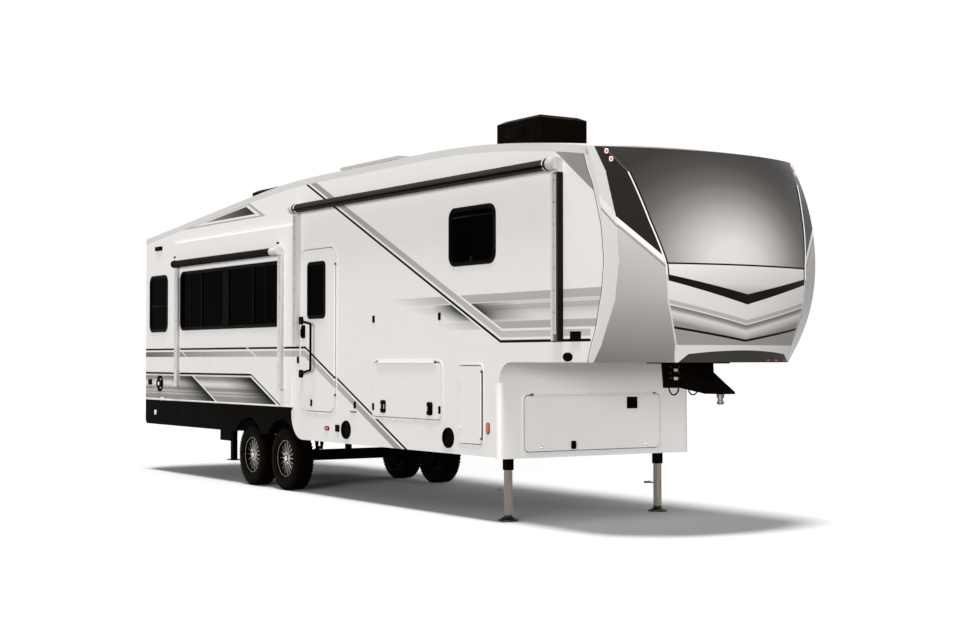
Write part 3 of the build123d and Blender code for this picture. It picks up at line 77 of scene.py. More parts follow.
class Tone:
    """One output of a shader node."""

    def __init__(self, tree, socket):
        self.tree = tree
        self.socket = socket

    def node(self, kind, settings=None, inputs=None, output=0):
        """Add a node of any kind: first its settings, then the values or links of its sockets."""
        new = self.tree.nodes.new("ShaderNode" + kind)
        for name, value in (settings or {}).items():
            setattr(new, name, value)
        for name, value in (inputs or {}).items():
            if isinstance(value, Tone):
                self.tree.links.new(value.socket, new.inputs[name])
            else:
                new.inputs[name].default_value = value
        return Tone(self.tree, new.outputs[output])

    def math(self, operation, *values, clamp=False):
        settings = {"operation": operation, "use_clamp": clamp}
        return self.node("Math", settings, dict(enumerate(values)))

    def __add__(self, other):
        return self.math("ADD", self, other)

    __radd__ = __add__

    def __sub__(self, other):
        return self.math("SUBTRACT", self, other)

    def __rsub__(self, other):
        return self.math("SUBTRACT", other, self)

    def __mul__(self, other):
        return self.math("MULTIPLY", self, other)

    __rmul__ = __mul__

    def above(self, level, soft=EDGE):
        """One where the value is above a level, nought below it, with a soft step between."""
        if isinstance(level, Tone):
            return (self - level).above(0, soft)
        return self.math("MULTIPLY_ADD", self, 1 / soft, 0.5 - level / soft, clamp=True)

    def below(self, level, soft=EDGE):
        return 1 - self.above(level, soft)

    def between(self, low, high, soft=EDGE):
        return self.above(low, soft) - self.above(high, soft)

    def ramp(self, *stops, blend="LINEAR"):
        """Read a ramp: each stop is a value and the colour, or the level of grey, that it gives."""
        low, span = stops[0][0], stops[-1][0] - stops[0][0]
        place = self.math("MULTIPLY_ADD", self, 1 / span, -low / span, clamp=True)
        colours = place.node("ValToRGB", inputs={"Fac": place})
        ramp = colours.socket.node.color_ramp
        ramp.interpolation = blend
        for number, (at, colour) in enumerate(stops):
            at = (at - low) / span
            element = ramp.elements[number] if number < len(ramp.elements) else ramp.elements.new(at)
            element.position = at
            element.color = colour if isinstance(colour, tuple) else (colour,) * 3 + (1,)
        return colours

    def shades(self, *stops):
        """A ramp of the warm display greys that the paints have."""
        return self.ramp(*((at, grey(level)) for at, level in stops))

    def over(self, base, top):
        """This value is a mask: the top colour lies over the base where it is one."""
        return self.node("Mix", {"data_type": "RGBA"}, {0: self, 6: base, 7: top}, output=2)


def tint(red, green, blue):
    """A display colour of 0 to 255 as the linear colour that a shader needs."""
    def linear(value):
        part = value / 255
        return part / 12.92 if part <= 0.04045 else ((part + 0.055) / 1.055) ** 2.4
    return (linear(red), linear(green), linear(blue), 1.0)


def grey(value):
    """A warm grey, as the whole trailer's paints are."""
    return tint(value + 3, value, max(value - 3, 0))


def new_finish(name, roughness=0.4, metallic=0.0, **constants):
    """A material with its Principled shader, and the place on the piece as x, y and z."""
    material = bpy.data.materials.new(name)
    material.use_nodes = True
    tree = material.node_tree
    shader = tree.nodes["Principled BSDF"]
    shader.inputs["Roughness"].default_value = roughness
    shader.inputs["Metallic"].default_value = metallic
    for socket, value in constants.items():
        shader.inputs[socket.replace("_", " ")].default_value = value
    place = Tone(tree, tree.nodes.new("ShaderNodeTexCoord").outputs["Object"])
    split = place.node("SeparateXYZ", inputs={0: place})
    x, y, z = (Tone(tree, split.socket.node.outputs[axis]) for axis in "XYZ")
    return material, place, x, y, z


def feed(shader, socket, value):
    """Give a shader's socket a value, or link a tone to it."""
    if isinstance(value, Tone):
        value.tree.links.new(value.socket, shader.inputs[socket])
    else:
        shader.inputs[socket].default_value = value


def noise(place, scale, detail=3.0, roughness=0.55, stretch=None):
    """Grey noise from 0 to 1, drawn out along an axis where stretch says so."""
    at = place
    if stretch:
        at = place.node("Mapping", inputs={"Vector": place, "Scale": stretch})
    inputs = {"Vector": at, "Scale": scale, "Detail": detail, "Roughness": roughness}
    return at.node("TexNoise", inputs=inputs)


def finished(material, colour, roughness, height=None, strength=0.1, distance=0.001):
    """Give a material its colour and roughness, and a height that a Bump node turns into its normal."""
    shader = material.node_tree.nodes["Principled BSDF"]
    feed(shader, "Base Color", colour)
    feed(shader, "Roughness", roughness)
    if height:
        bump = {"Strength": strength, "Distance": distance, "Height": height}
        feed(shader, "Normal", height.node("Bump", inputs=bump))
    return material


print("shader helpers ready")

# %% [markdown]
# The studio is a pale floor, an even sky, a broad lamp overhead, a low one beside the camera and a weak
# one in front. To the camera, and in gloss and glass, floor and sky are white. For the light that
# bounces up from it the floor is a mid grey, so that what looks down is darker, as in a real studio.

# %% Studio
GROUND_GREY = 0.22
FLOOR_WHITE = 0.95
SKY = 0.2

world = bpy.data.worlds.new("studio")
bpy.context.scene.world = world
world.use_nodes = True
sky = world.node_tree.nodes["Background"]


def seen(tree):
    """One for rays that show the background: straight to the camera, or by way of gloss or glass."""
    rays = tree.nodes.new("ShaderNodeLightPath")
    straight, gloss, through = (
        Tone(tree, rays.outputs[name]) for name in ("Is Camera Ray", "Is Glossy Ray", "Is Transmission Ray"))
    return straight.math("MAXIMUM", straight.math("MAXIMUM", straight, gloss), through)


sky.inputs["Color"].default_value = (1.0, 1.0, 1.0, 1.0)
feed(sky, "Strength", seen(world.node_tree) * (1.0 - SKY) + SKY)

bpy.ops.object.select_all(action="DESELECT")
bpy.ops.mesh.primitive_plane_add(size=160, location=(0, 0, -0.001))
floor = bpy.context.object
floor.name = "studio_floor"
material, place, x, y, z = new_finish("studio_floor", Specular_IOR_Level=0.0)
lit, shown = ((level, level, level, 1) for level in (GROUND_GREY, FLOOR_WHITE))
floor.data.materials.append(finished(material, seen(material.node_tree).over(lit, shown), 0.9))


def broad_lamp(name, towards, strength, softness):
    """A lamp as broad as a studio ceiling, which lights everything from one direction."""
    lamp = bpy.data.lights.new(name, "SUN")
    lamp.energy = strength
    lamp.angle = math.radians(softness)
    holder = bpy.data.objects.new(name, lamp)
    bpy.context.scene.collection.objects.link(holder)
    holder.rotation_euler = Vector(towards).to_track_quat("Z", "Y").to_euler()
    return holder


broad_lamp("overhead", (0.15, -0.14, 1.0), 2.6, 14)
broad_lamp("beside_camera", (0.6, -0.8, 0.04), 3.05, 30)
broad_lamp("front_fill", (1.0, 0.35, 0.05), 0.95, 60)
bpy.context.scene.view_settings.view_transform = "Standard"
print("studio ready")

# %% [markdown]
# The side walls are smooth painted sheets. Their stripes are vinyl, and run on across the slide-out,
# the doors and the hatches, so one finish covers them all. Every band is a mask of x and z: a level
# band is a slice of z, and a slanting one is a slice of the distance from its line. Far ends fade.

# %% Stripes of the side walls
BODY = grey(243)
CAP_WHITE = grey(224)
WHITE = grey(240)
INK = grey(10)
WALL_FACE = 1.19         # stripes are only on what stands out this far from the middle
DOOR_FRONT = 0.2
CAP_SEAM = ((1.6, 5.075), (1.84, 5.17), (2.15, 5.26), (2.42, 5.306), (2.6, 5.306), (2.92, 5.248),
            (3.25, 5.131), (3.52, 5.013))


def from_line(x, z, start, end):
    """Distance from the line through two points, positive above it for a line that runs forward."""
    across, up = end[0] - start[0], end[1] - start[1]
    length = math.hypot(across, up)
    return z * (across / length) + x * (-up / length) + (start[0] * up - start[1] * across) / length


def length_at(z, table, base, span, blend="LINEAR"):
    """A length read from a table of heights. A ramp gives only 0 to 1, so it is scaled, and scaled back."""
    stops = [(at, (value - base) / span) for at, value in table]
    return z.ramp(*stops, blend=blend) * span + base


def seam_of_cap(x, z):
    """Distance in front of the curved seam where the nose moulding laps the side wall."""
    return x - length_at(z, CAP_SEAM, 5.0, 1.0, "CARDINAL")


def side_stripes(x, z):
    """The paint colour of a side wall at each place."""
    colour = BODY

    # Long line and band of the rear half, which turn down under the door
    drop = from_line(x, z, (-0.57, 1.762), (1.75, 0.667)) - x.above(DOOR_FRONT) * 0.014
    level = z - 1.76
    turn = level.math("MAXIMUM", level, drop)
    slash = from_line(x, z, (-4.4, 1.76), (-4.15, 1.65)).between(-0.008, 0.008)
    slash = slash.math("MAXIMUM", slash, from_line(x, z, (-2.15, 1.76), (-1.88, 1.65)).between(-0.008, 0.008))
    tone = x.shades((-5.8, 104), (-5.15, 124), (-3.7, 163), (-2.1, 188), (-0.3, 194), (0.4, 185), (1.4, 165))
    colour = (turn.between(-0.109, -0.038) * (1 - slash)).over(colour, tone)
    colour = (turn.between(-0.013, 0.013) * (1 - slash)).over(colour, INK)

    # Two fields of fine bands above the skirt, each ending on a slant that its bands darken towards
    first_end = from_line(x, z, (-4.0, 1.42), (-3.14, 1.06))
    second_end = from_line(x, z, (-2.1, 1.42), (-1.275, 1.06))
    first = first_end.below(-0.01)
    second = first_end.above(0.01) * second_end.below(-0.01)
    bands = z.shades(
        (1.05, 150), (1.122, 153), (1.128, 190), (1.148, 194), (1.152, 146), (1.16, 146), (1.165, 190),
        (1.186, 196), (1.19, 154), (1.226, 154), (1.236, 194), (1.262, 222), (1.282, 232), (1.305, 216),
        (1.34, 158), (1.35, 146), (1.382, 138), (1.386, 222))
    ease = ((-0.42, 0.0), (-0.22, 0.45), (-0.1, 0.86), (-0.04, 1.0))
    near = first_end.ramp(*ease) * first + second_end.ramp(*ease) * second
    fields = near.over(bands, grey(8))
    fields = z.above(1.387).over(fields, grey(222))
    colour = (z.between(1.056, 1.408) * (first + second)).over(colour, fields)
    colour = (z.between(1.407, 1.434) * second_end.below(0.02)).over(colour, INK)
    colour = (second_end.between(0.018, 0.036) * z.between(1.055, 1.43)).over(colour, INK)

    # Fine bands at the deck's level, which fade out backwards along a slant
    fall = from_line(x, z, (-0.55, 3.724), (3.65, 1.794))
    bent = fall.math("MINIMUM", fall, z - 1.794)
    deck = z.shades(
        (1.9, 222), (1.925, 180), (1.985, 182), (1.995, 234), (2.05, 226), (2.1, 206), (2.106, 186),
        (2.15, 190), (2.16, 222), (2.176, 210), (2.184, 236), (2.192, 184), (2.266, 188), (2.275, 222))
    tail = from_line(x, z, (1.35, 2.29), (2.6, 1.93))
    fade = tail.ramp((0.0, 0.0), (0.3, 1.0))
    colour = (z.between(1.915, 2.27) * fade).over(colour, deck)

    # Dark glow on both sides of the long slanting line, only between the bands
    slice_low = z.ramp((1.98, 0.0), (2.02, 0.75), (2.08, 1.0), (2.176, 1.0), (2.184, 0.0))
    low_side = fall.below(-0.03) * fall.ramp((-0.22, 0.0), (-0.12, 0.45), (-0.03, 1.0))
    high_side = fall.above(0.125) * (1 - fall.ramp((0.125, 0.0), (0.22, 0.4), (0.46, 1.0)))
    colour = (low_side * slice_low).over(colour, grey(12))
    colour = (high_side * slice_low * 0.96).over(colour, grey(14))

    # The long slanting line itself, which levels out at the raised deck
    whole = z.between(1.77, 3.735) * x.below(5.12)
    tone = x.shades((-0.5, 160), (0.3, 167), (1.3, 177), (2.7, 188), (3.7, 200))
    colour = (bent.between(-0.03, 0.125) * whole).over(colour, BODY)
    colour = (bent.between(0.04, 0.103) * whole).over(colour, tone)
    colour = (bent.between(-0.0135, 0.0135) * whole).over(colour, INK)

    # Grey corner at the front top, cut by a pale slanting stripe
    corner = from_line(x, z, (4.33, 3.7), (5.35, 2.98))
    colour = corner.above(0.0).over(colour, grey(150))
    colour = corner.between(-0.03, 0.03).over(colour, WHITE)

    # Long triangle under the roof's rise at the rear
    rise = from_line(x, z, (-4.5, 3.432), (-2.18, 3.632))
    tail_edge = from_line(x, z, (-2.18, 3.632), (-1.7, 3.432))
    outer = z.above(3.432) * rise.below(0.0) * tail_edge.below(0.0)
    white = z.above(3.45) * rise.below(-0.016) * tail_edge.below(-0.035)
    dark = z.above(3.478) * rise.below(-0.03) * tail_edge.below(-0.075)
    shade = x.shades((-4.2, 170), (-3.2, 120), (-2.2, 52))
    colour = outer.over(colour, grey(178))
    colour = white.over(colour, WHITE)
    colour = dark.over(colour, shade)

    # Past the seam of the nose moulding the wall's stripes stop; the seam is a dark line with a pale edge
    past = seam_of_cap(x, z)
    upper = z.above(1.58) * x.above(4.98)
    colour = (past.above(0.0) * upper).over(colour, CAP_WHITE)
    colour = (past.between(0.004, 0.02) * upper).over(colour, WHITE)
    return (past.between(-0.005, 0.005) * upper).over(colour, grey(70))


def add_wear(place, z, colour, amount=0.03):
    """Road film: faint blotches, and a little more of it low down."""
    blotch = noise(place, 0.7, 2.0)
    film = (1 - z.ramp((0.6, 0.0), (1.5, 1.0))) * 0.5 + 0.5
    mask = blotch.ramp((0.3, 0.0), (0.8, amount)) * film
    return mask.over(colour, grey(120))


def side_finish():
    material, place, x, y, z = new_finish("side_paint", roughness=0.3, Specular_IOR_Level=0.02)
    outside = y.math("ABSOLUTE", y).above(WALL_FACE, 0.002)
    colour = outside.over(grey(214), side_stripes(x, z))
    ripple = noise(place, 0.6, 1.0, stretch=(1.0, 1.0, 0.35))
    return finished(material, colour, noise(place, 2.0, 1.0) * 0.1 + 0.24, ripple, 0.05, 0.004)


def dress(names, material):
    """Put one finish on the model's own nodes."""
    for name in names:
        slots = nodes[name].data.materials
        slots.clear()
        slots.append(material)
    print(material.name, "on", len(names))


SIDES = ("right", "left")
dress(["side_wall_right", "side_wall_left", "slide_room_right", "slide_room_left", "entry_door_leaf",
       "baggage_door_right", "baggage_door_left", "gas_locker_door"], side_finish())

# %% [markdown]
# The nose is one big moulding with a printed front. The print is laid out by height and by distance
# from the middle: a silver glow on charcoal, a black chevron under it, then paler chevrons. The edge
# of the front panel leans in towards the bottom, and a ramp of z gives its place, as it does for the
# crease where the slanted face meets the side.

# %% Print of the nose
PANEL_EDGE = ((1.59, 0.69), (1.75, 0.71), (2.14, 0.825), (2.48, 0.85), (2.84, 0.945), (3.31, 1.04),
              (3.62, 1.196))
CREASE = ((1.59, 5.135), (1.75, 5.255), (2.14, 5.455), (2.48, 5.513), (2.84, 5.487), (3.31, 5.325),
          (3.62, 5.12))
STEEP = 1.03             # climb of the pale stripe on the slanted faces
CHARCOAL = grey(34)


def nose_print(x, y, z):
    """The colour of the nose moulding at each place: its print, and slanted faces that grow darker towards the
    bottom.
    """
    aside = y.math("ABSOLUTE", y)
    edge = length_at(z, PANEL_EDGE, 0.6, 0.65)
    crease = length_at(z, CREASE, 5.0, 0.6)
    past_crease = x.above(crease, 0.006)
    panel = (edge - aside).above(0, 0.006) * past_crease
    inner = (edge - aside).above(0.012, 0.006) * past_crease
    slanted = past_crease * (1 - panel)

    # Slanted faces: charcoal above a pale stripe that comes on from the side wall, and below the stripe a grey
    # that is darker towards the bottom
    climb = z - aside * STEEP + (STEEP * 0.85 - 2.49)
    fade = z.shades((1.59, 128), (1.8, 152), (2.2, 180), (2.75, 188), (3.0, 194))
    colour = slanted.over(CAP_WHITE, fade)
    colour = (slanted * climb.above(0.035)).over(colour, CHARCOAL)
    colour = (slanted * climb.between(-0.02, 0.035)).over(colour, WHITE)
    colour = (slanted * climb.between(-0.055, -0.035)).over(colour, grey(140))

    # Side strip between the seam and the crease: the wall's paint up to the seam, then the stripe
    corner = from_line(x, z, (5.3, 3.02), (5.5, 2.85))
    strip = 1 - past_crease
    colour = strip.over(colour, side_stripes(x, z))
    strip = strip * seam_of_cap(x, z).above(0.02)
    colour = (strip * corner.between(-0.03, 0.03)).over(colour, WHITE)
    colour = (strip * corner.between(-0.055, -0.04)).over(colour, grey(160))

    # Front panel above the chevron: a silver glow on charcoal
    sideways = (y + 0.12) * (1 / 1.1)
    upwards = (z - 2.45) * (1 / 0.86)
    away = sideways.math("SQRT", sideways * sideways + upwards * upwards)
    glow = away.shades((0, 228), (0.28, 216), (0.5, 182), (0.72, 136), (0.92, 96), (1.12, 68), (1.35, 50))
    colour = (panel * z.above(2.3)).over(colour, glow)
    colour = (panel * z.between(2.464, 2.48)).over(colour, INK)
    silver = z.shades((2.2, 176), (2.3, 216), (2.46, 228))
    high = z - aside * 0.196
    low = z - aside * 0.244
    colour = (inner * high.above(2.21) * z.below(2.464)).over(colour, silver)
    margin = (panel - inner) * z.below(2.4)
    colour = (panel * high.below(2.21)).over(colour, grey(226))
    colour = margin.over(colour, grey(222))
    colour = (inner * low.above(2.116) * high.below(2.21)).over(colour, INK)

    # Paler chevrons, the thin black one, and the grey under it
    shallow = z - aside * 0.215
    flat = z - aside * 0.155
    bands = shallow.shades(
        (1.79, 150), (1.83, 196), (1.87, 222), (1.9, 150), (1.925, 112), (1.93, 228), (1.938, 232),
        (1.942, 186), (1.975, 184), (1.98, 232))
    colour = (inner * shallow.below(1.975) * flat.above(1.79)).over(colour, bands)
    colour = (inner * flat.between(1.776, 1.798)).over(colour, INK)
    colour = (inner * z.above(1.747) * flat.below(1.776)).over(colour, grey(158))

    # Dark arched plate over the coupler
    arch = z + aside * aside * 0.1
    shoulder = z + aside * 0.9
    return (past_crease * arch.below(1.7) * shoulder.below(2.19)).over(colour, grey(62))


def nose_finish():
    material, place, x, y, z = new_finish("nose_print", roughness=0.22, Specular_IOR_Level=0.05)
    rough = noise(place, 4.0) * 0.1 + 0.17
    return finished(material, nose_print(x, y, z), rough, noise(place, 1.0, 1.0), 0.05, 0.006)


dress(["nose_cap"], nose_finish())

# %% [markdown]
# The other finishes are few. Plain mouldings and sheets take a white paint with faint road film; the
# frame, brackets and skirts a black paint with dust on it; glass is near black and mirror smooth, as
# tinted vehicle windows look by day; metals are told apart by their grain.

# %% Plain finishes
def paint_finish(name, colour, roughness, film=0.06, dust=0.0, gloss=0.5):
    """Painted sheet or moulding, with road film and a slight orange-peel surface."""
    material, place, x, y, z = new_finish(name, roughness=roughness, Specular_IOR_Level=gloss)
    shade = add_wear(place, z, colour, film) if film else colour
    if dust:
        blotch = noise(place, 3.5, 6.0).ramp((0.5, 0.0), (0.85, dust))
        shade = blotch.over(shade, grey(84))
    rough = noise(place, 9.0) * 0.2 + (roughness - 0.1)
    return finished(material, shade, rough, noise(place, 60.0), 0.05, 0.001)


def metal_finish(name, colour, roughness, grain=(1.0, 1.0, 1.0)):
    """Bare metal with a drawn grain."""
    material, place, x, y, z = new_finish(name, roughness=roughness, metallic=0.9)
    streaks = noise(place, 40.0, 4.0, stretch=grain)
    shade = streaks.shades((0.25, colour - 26), (0.75, colour))
    return finished(material, shade, streaks * 0.25 + (roughness - 0.12), streaks, 0.04, 0.0005)


def glass_finish():
    """Tinted glass seen from outside: near black, with a faint unevenness."""
    material, place, x, y, z = new_finish("tinted_glass", roughness=0.04, Specular_IOR_Level=0.002)
    depth = noise(place, 0.9, 2.0).ramp((0.3, tint(0, 0, 0)), (0.8, tint(4, 4, 4)))
    return finished(material, depth, noise(place, 3.0) * 0.04 + 0.03)


white_paint = paint_finish("white_moulding", BODY, 0.32)
black_paint = paint_finish("black_frame_paint", grey(5), 0.5, 0.0, 0.04, 0.008)
skirt_paint = paint_finish("black_skirt", grey(7), 0.45, 0.0, 0.03, 0.004)
black_plastic = paint_finish("black_plastic", grey(4), 0.45, 0.0, 0.02, 0.008)
membrane = paint_finish("roof_membrane", grey(220), 0.6, 0.08)
board = paint_finish("floor_board", tint(172, 142, 104), 0.6, 0.1)
alloy = metal_finish("machined_alloy", 178, 0.26)
steel = metal_finish("bright_steel", 110, 0.35, (1.0, 1.0, 0.05))
aluminium = metal_finish("mill_aluminium", 205, 0.34, (1.0, 1.0, 0.05))
glass = glass_finish()


def leg_finish():
    """Landing legs: greased steel tubes on black feet."""
    material, place, x, y, z = new_finish("leg_steel", roughness=0.4, metallic=0.3)
    streaks = noise(place, 30.0, 4.0, stretch=(1.0, 1.0, 0.08))
    tube = streaks.ramp((0.3, tint(104, 96, 88)), (0.7, tint(150, 142, 132)))
    return finished(material, z.below(0.06).over(tube, grey(10)), streaks * 0.2 + 0.3)


def arm_finish():
    """Awning arms: pale channels, but the front one is dark, and across its width it runs from a pale edge
    through grey to black, partly its own colour and partly painted shade of its channel.
    """
    material, place, x, y, z = new_finish("awning_arms", roughness=0.34, Specular_IOR_Level=0.12)
    streaks = noise(place, 30.0, 3.0, stretch=(1.0, 1.0, 0.05)).shades((0.3, 196), (0.7, 212))
    # Front arm: a dark colour with painted shade across its width, from a pale edge down to black
    dark = x.shades((4.58, 226), (4.622, 214), (4.632, 140), (4.652, 104), (4.69, 64), (4.697, 8))
    colour = (x.above(4.0) * z.below(3.36)).over(streaks, dark)
    return finished(material, colour, noise(place, 12.0) * 0.1 + 0.3)


def topper_finish():
    """Slide-out topper: pale arms and head, and a black roll between them."""
    material, place, x, y, z = new_finish("slide_topper", roughness=0.5, Specular_IOR_Level=0.02)
    roll = z.above(2.897) * x.below(-1.3)
    threads = noise(place, 60.0, 3.0, stretch=(0.1, 1.0, 1.0)).shades((0.3, 8), (0.7, 26))
    pale = noise(place, 8.0, 2.0).shades((0.3, 210), (0.7, 222))
    return finished(material, roll.over(pale, threads), roll * 0.3 + 0.35)


CELL = (0.168, 0.158)    # pitch of the solar cells


def solar_finish():
    """Solar module: a bright frame at its edges and dark cells with fine bright lines on top."""
    material, place, x, y, z = new_finish("solar_module", roughness=0.2, Specular_IOR_Level=0.15)
    inner = x.between(-0.275, 1.065) * y.between(-0.875, 0.075) * z.above(3.9195, 0.001)
    columns, rows = (along.math("FRACT", along * (1 / pitch)).between(0.02, 0.98, 0.01)
                     for along, pitch in ((x, CELL[0]), (y, CELL[1])))
    cells = (columns * rows).over(grey(120), tint(10, 14, 26))
    return finished(material, inner.over(grey(178), cells), noise(place, 6.0) * 0.1 + 0.15)


dress(["rear_wall", "lower_front_wall", "front_baggage_door", "upper_deck", "partitions",
       "roof_vents"], white_paint)
dress(["roof"], membrane)
dress(["floors"], board)
dress(["skirts"], skirt_paint)
dress(["frame_rails", "cross_members", "underbelly", "pin_box", "axles", "leaf_springs", "spring_hangers",
       "leg_housings", "stabiliser_jacks", "rear_bumper"], black_paint)
dress(["coach_window_frames", "entry_door_window", "entry_grab_handle", "side_fittings",
       "air_conditioners", "slide_window_frame_right", "slide_window_frame_left"], black_plastic)
dress(["solar_panel"], solar_finish())
dress(["awning_roller"], paint_finish("awning_cloth", grey(52), 0.7, 0.0, 0.1, 0.02))
dress(["coach_window_panes", "entry_door_pane", "slide_window_pane_right", "slide_window_pane_left"], glass)
dress(["king_pin", "slide_rollers", "hinge_pins"], steel)
dress(["leg_tubes"], leg_finish())
dress(["awning_arms"], arm_finish())
dress(["slide_awning_right", "slide_awning_left"], topper_finish())
dress(["rear_ladder"], aluminium)
wheels = [end + "_" + side for end in ("front", "rear") for side in SIDES]
dress(["tyre_" + wheel for wheel in wheels], black_plastic)
dress(["rim_" + wheel for wheel in wheels], alloy)
dress(["tail_lamps"], paint_finish("red_lens", tint(150, 14, 10), 0.15, 0.0))

# %% [markdown]
# The small pieces are modelled as by hand: a primitive is put in its place, its faces and edges are
# picked by where they are, and they are inset, extruded and bevelled. These helpers are the few hand
# moves that come back again and again. Each leaves the piece at the origin with its place in its mesh.

# %% Hand moves
X, Y, Z = 0, 1, 2
SMOOTH = math.radians(35)
ALIGNED = 0.999          # a face or an edge follows an axis


def all_off():
    """Back to object mode with nothing selected."""
    if bpy.context.mode != "OBJECT":
        bpy.ops.object.mode_set(mode="OBJECT")
    bpy.ops.object.select_all(action="DESELECT")


def only(piece):
    all_off()
    piece.select_set(True)
    bpy.context.view_layer.objects.active = piece


def settle(piece):
    """Move a piece's place and turn into its mesh."""
    only(piece)
    bpy.ops.object.transform_apply(location=True, rotation=True, scale=True)
    return piece


def soften(piece, width, segments=2):
    """Break every sharp edge, as a mould or a press leaves it, or leave them where the width is nought."""
    if not width:
        return piece
    only(piece)
    edge = piece.modifiers.new("edge", "BEVEL")
    edge.width = width
    edge.segments = segments
    edge.limit_method = "ANGLE"
    edge.angle_limit = SMOOTH
    bpy.ops.object.modifier_apply(modifier=edge.name)
    return piece


def box(low, high, soft=0):
    """A box between two corners, its edges broken by the width that soft gives."""
    all_off()
    middle = [(a + b) / 2 for a, b in zip(low, high)]
    bpy.ops.mesh.primitive_cube_add(size=1, location=middle, scale=[b - a for a, b in zip(low, high)])
    return soften(settle(bpy.context.object), soft)


def pick(piece, kind, test):
    """In edit mode, select only the faces, edges or points that pass a test."""
    if piece.mode != "EDIT":
        only(piece)
        bpy.ops.object.mode_set(mode="EDIT")
    bpy.ops.mesh.select_mode(type=kind)
    bpy.ops.mesh.select_all(action="DESELECT")
    mesh = bmesh.from_edit_mesh(piece.data)
    for part in {"FACE": mesh.faces, "EDGE": mesh.edges}[kind]:
        if test(part):
            part.select_set(True)
    bmesh.update_edit_mesh(piece.data)


def runs_along(axis):
    """A test for edges that run along one axis."""
    def test(edge):
        way = (edge.verts[1].co - edge.verts[0].co).normalized()
        return abs(way[axis]) > ALIGNED
    return test


def faces_along(axis, sign=0):
    """A test for faces that look along one axis, either way or one way only."""
    def test(face):
        way = face.normal[axis]
        return (way * sign if sign else abs(way)) > ALIGNED
    return test


def rounded(low, high, across, radius, segments, soft=0):
    """A slab whose corners are rounded as seen along one axis."""
    piece = box(low, high)
    pick(piece, "EDGE", runs_along(across))
    bpy.ops.mesh.bevel(offset=radius, segments=segments, affect="EDGES")
    all_off()
    return soften(piece, soft)


def rim_of(low, high, across, radius, width, segments, soft=0):
    """A rounded slab with its middle cut out, so that a rim of one width is left."""
    piece = rounded(low, high, across, radius, segments)
    pick(piece, "FACE", faces_along(across))
    bpy.ops.mesh.inset(thickness=width)
    bpy.ops.mesh.delete(type="FACE")
    pick(piece, "EDGE", lambda edge: edge.is_boundary)
    bpy.ops.mesh.bridge_edge_loops()
    all_off()
    return soften(piece, soft)


def turned(centre, axis, profile, sides=32, closed=False, height=1.0):
    """A turned piece: a circle drawn out through (radius, place along the axis), one ring at a time."""
    all_off()
    radius, at = profile[0]
    fill = "NOTHING" if closed else "NGON"
    bpy.ops.mesh.primitive_circle_add(vertices=sides, radius=radius, fill_type=fill, location=(0, 0, 0))
    piece = bpy.context.object
    bpy.ops.object.mode_set(mode="EDIT")
    bpy.ops.mesh.select_mode(type="VERT")
    bpy.ops.mesh.select_all(action="SELECT")
    bpy.ops.transform.translate(value=(0, 0, at))
    for wider, further in profile[1:] + (profile[:1] if closed else []):
        bpy.ops.mesh.extrude_region_move(TRANSFORM_OT_translate={"value": (0, 0, further - at)})
        k = wider / radius
        bpy.ops.transform.resize(value=(k, k, 1), center_override=(0, 0, further))
        radius, at = wider, further
    bpy.ops.mesh.select_all(action="SELECT")
    if closed:
        bpy.ops.mesh.remove_doubles(threshold=1e-5)
    bpy.ops.mesh.normals_make_consistent(inside=False)
    all_off()
    piece.scale = (1, height, 1)
    settle(piece)
    piece.rotation_euler = {X: (0, math.pi / 2, 0), Y: (-math.pi / 2, 0, 0), Z: (0, 0, 0)}[axis]
    piece.location = centre
    return settle(piece)


def round_copies(piece, count):
    """Copies of all of a piece, evenly round the Y axis, as spokes stand round a hub."""
    pick(piece, "FACE", lambda face: True)
    bpy.ops.mesh.spin(steps=count - 1, dupli=True, angle=2 * math.pi * (count - 1) / count,
                      center=(0, 0, 0), axis=(0, 1, 0))
    all_off()


def row_copies(piece, count, step):
    """Copies of a piece in a row."""
    only(piece)
    row = piece.modifiers.new("row", "ARRAY")
    row.count = count
    row.use_relative_offset = False
    row.use_constant_offset = True
    row.constant_offset_displace = step
    bpy.ops.object.modifier_apply(modifier=row.name)
    return piece


def duplicate(piece):
    """A copy with its own mesh."""
    only(piece)
    bpy.ops.object.duplicate()
    return bpy.context.object


def copied(piece, move, turn=0.0):
    """A copy turned about the upright axis and then moved."""
    twin = duplicate(piece)
    twin.rotation_euler = (0, 0, turn)
    twin.location = move
    return settle(twin)


def mirrored(piece):
    """A copy on the other side of the trailer, with its faces turned outwards again."""
    twin = duplicate(piece)
    twin.scale = (1, -1, 1)
    settle(twin)
    bpy.ops.object.mode_set(mode="EDIT")
    bpy.ops.mesh.select_all(action="SELECT")
    bpy.ops.mesh.normals_make_consistent(inside=False)
    all_off()
    return twin


def joined(pieces):
    """Several solids as one piece."""
    all_off()
    for piece in pieces:
        piece.select_set(True)
    bpy.context.view_layer.objects.active = pieces[0]
    bpy.ops.object.join()
    return bpy.context.object


def discard(*models):
    for model in models:
        bpy.data.objects.remove(model)


made = []


def fit(name, piece, look, body="coach"):
    """The last step for each piece: name and smooth it, give it its finish, let it ride on a body."""
    slot, finish = look
    only(piece)
    piece.name = name
    bpy.ops.object.shade_smooth_by_angle(angle=SMOOTH)
    piece.data.materials.clear()
    piece.data.materials.append(finish)
    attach(piece, body)
    made.append(name)
    return piece


def fit_pair(name, piece, look, body="coach"):
    """Fit a piece, and its mirror image on the body of the far side."""
    fit(name, piece, look, body)
    fit(name + "_far", mirrored(piece), look, body.replace("right", "left"))


black_look = ("black_plastic", black_plastic)
white_look = ("white_moulding", white_paint)
print("hand moves ready")

# %% [markdown]
# A trailer tyre has three grooves round its tread, shoulder blocks that show from the side, and a
# sidewall with a rubbing rib and a bead that sits on the rim. Its rings are drawn out in one go; one
# shoulder block is shaped and then copied round. All four wheels are copies of the same tyre.

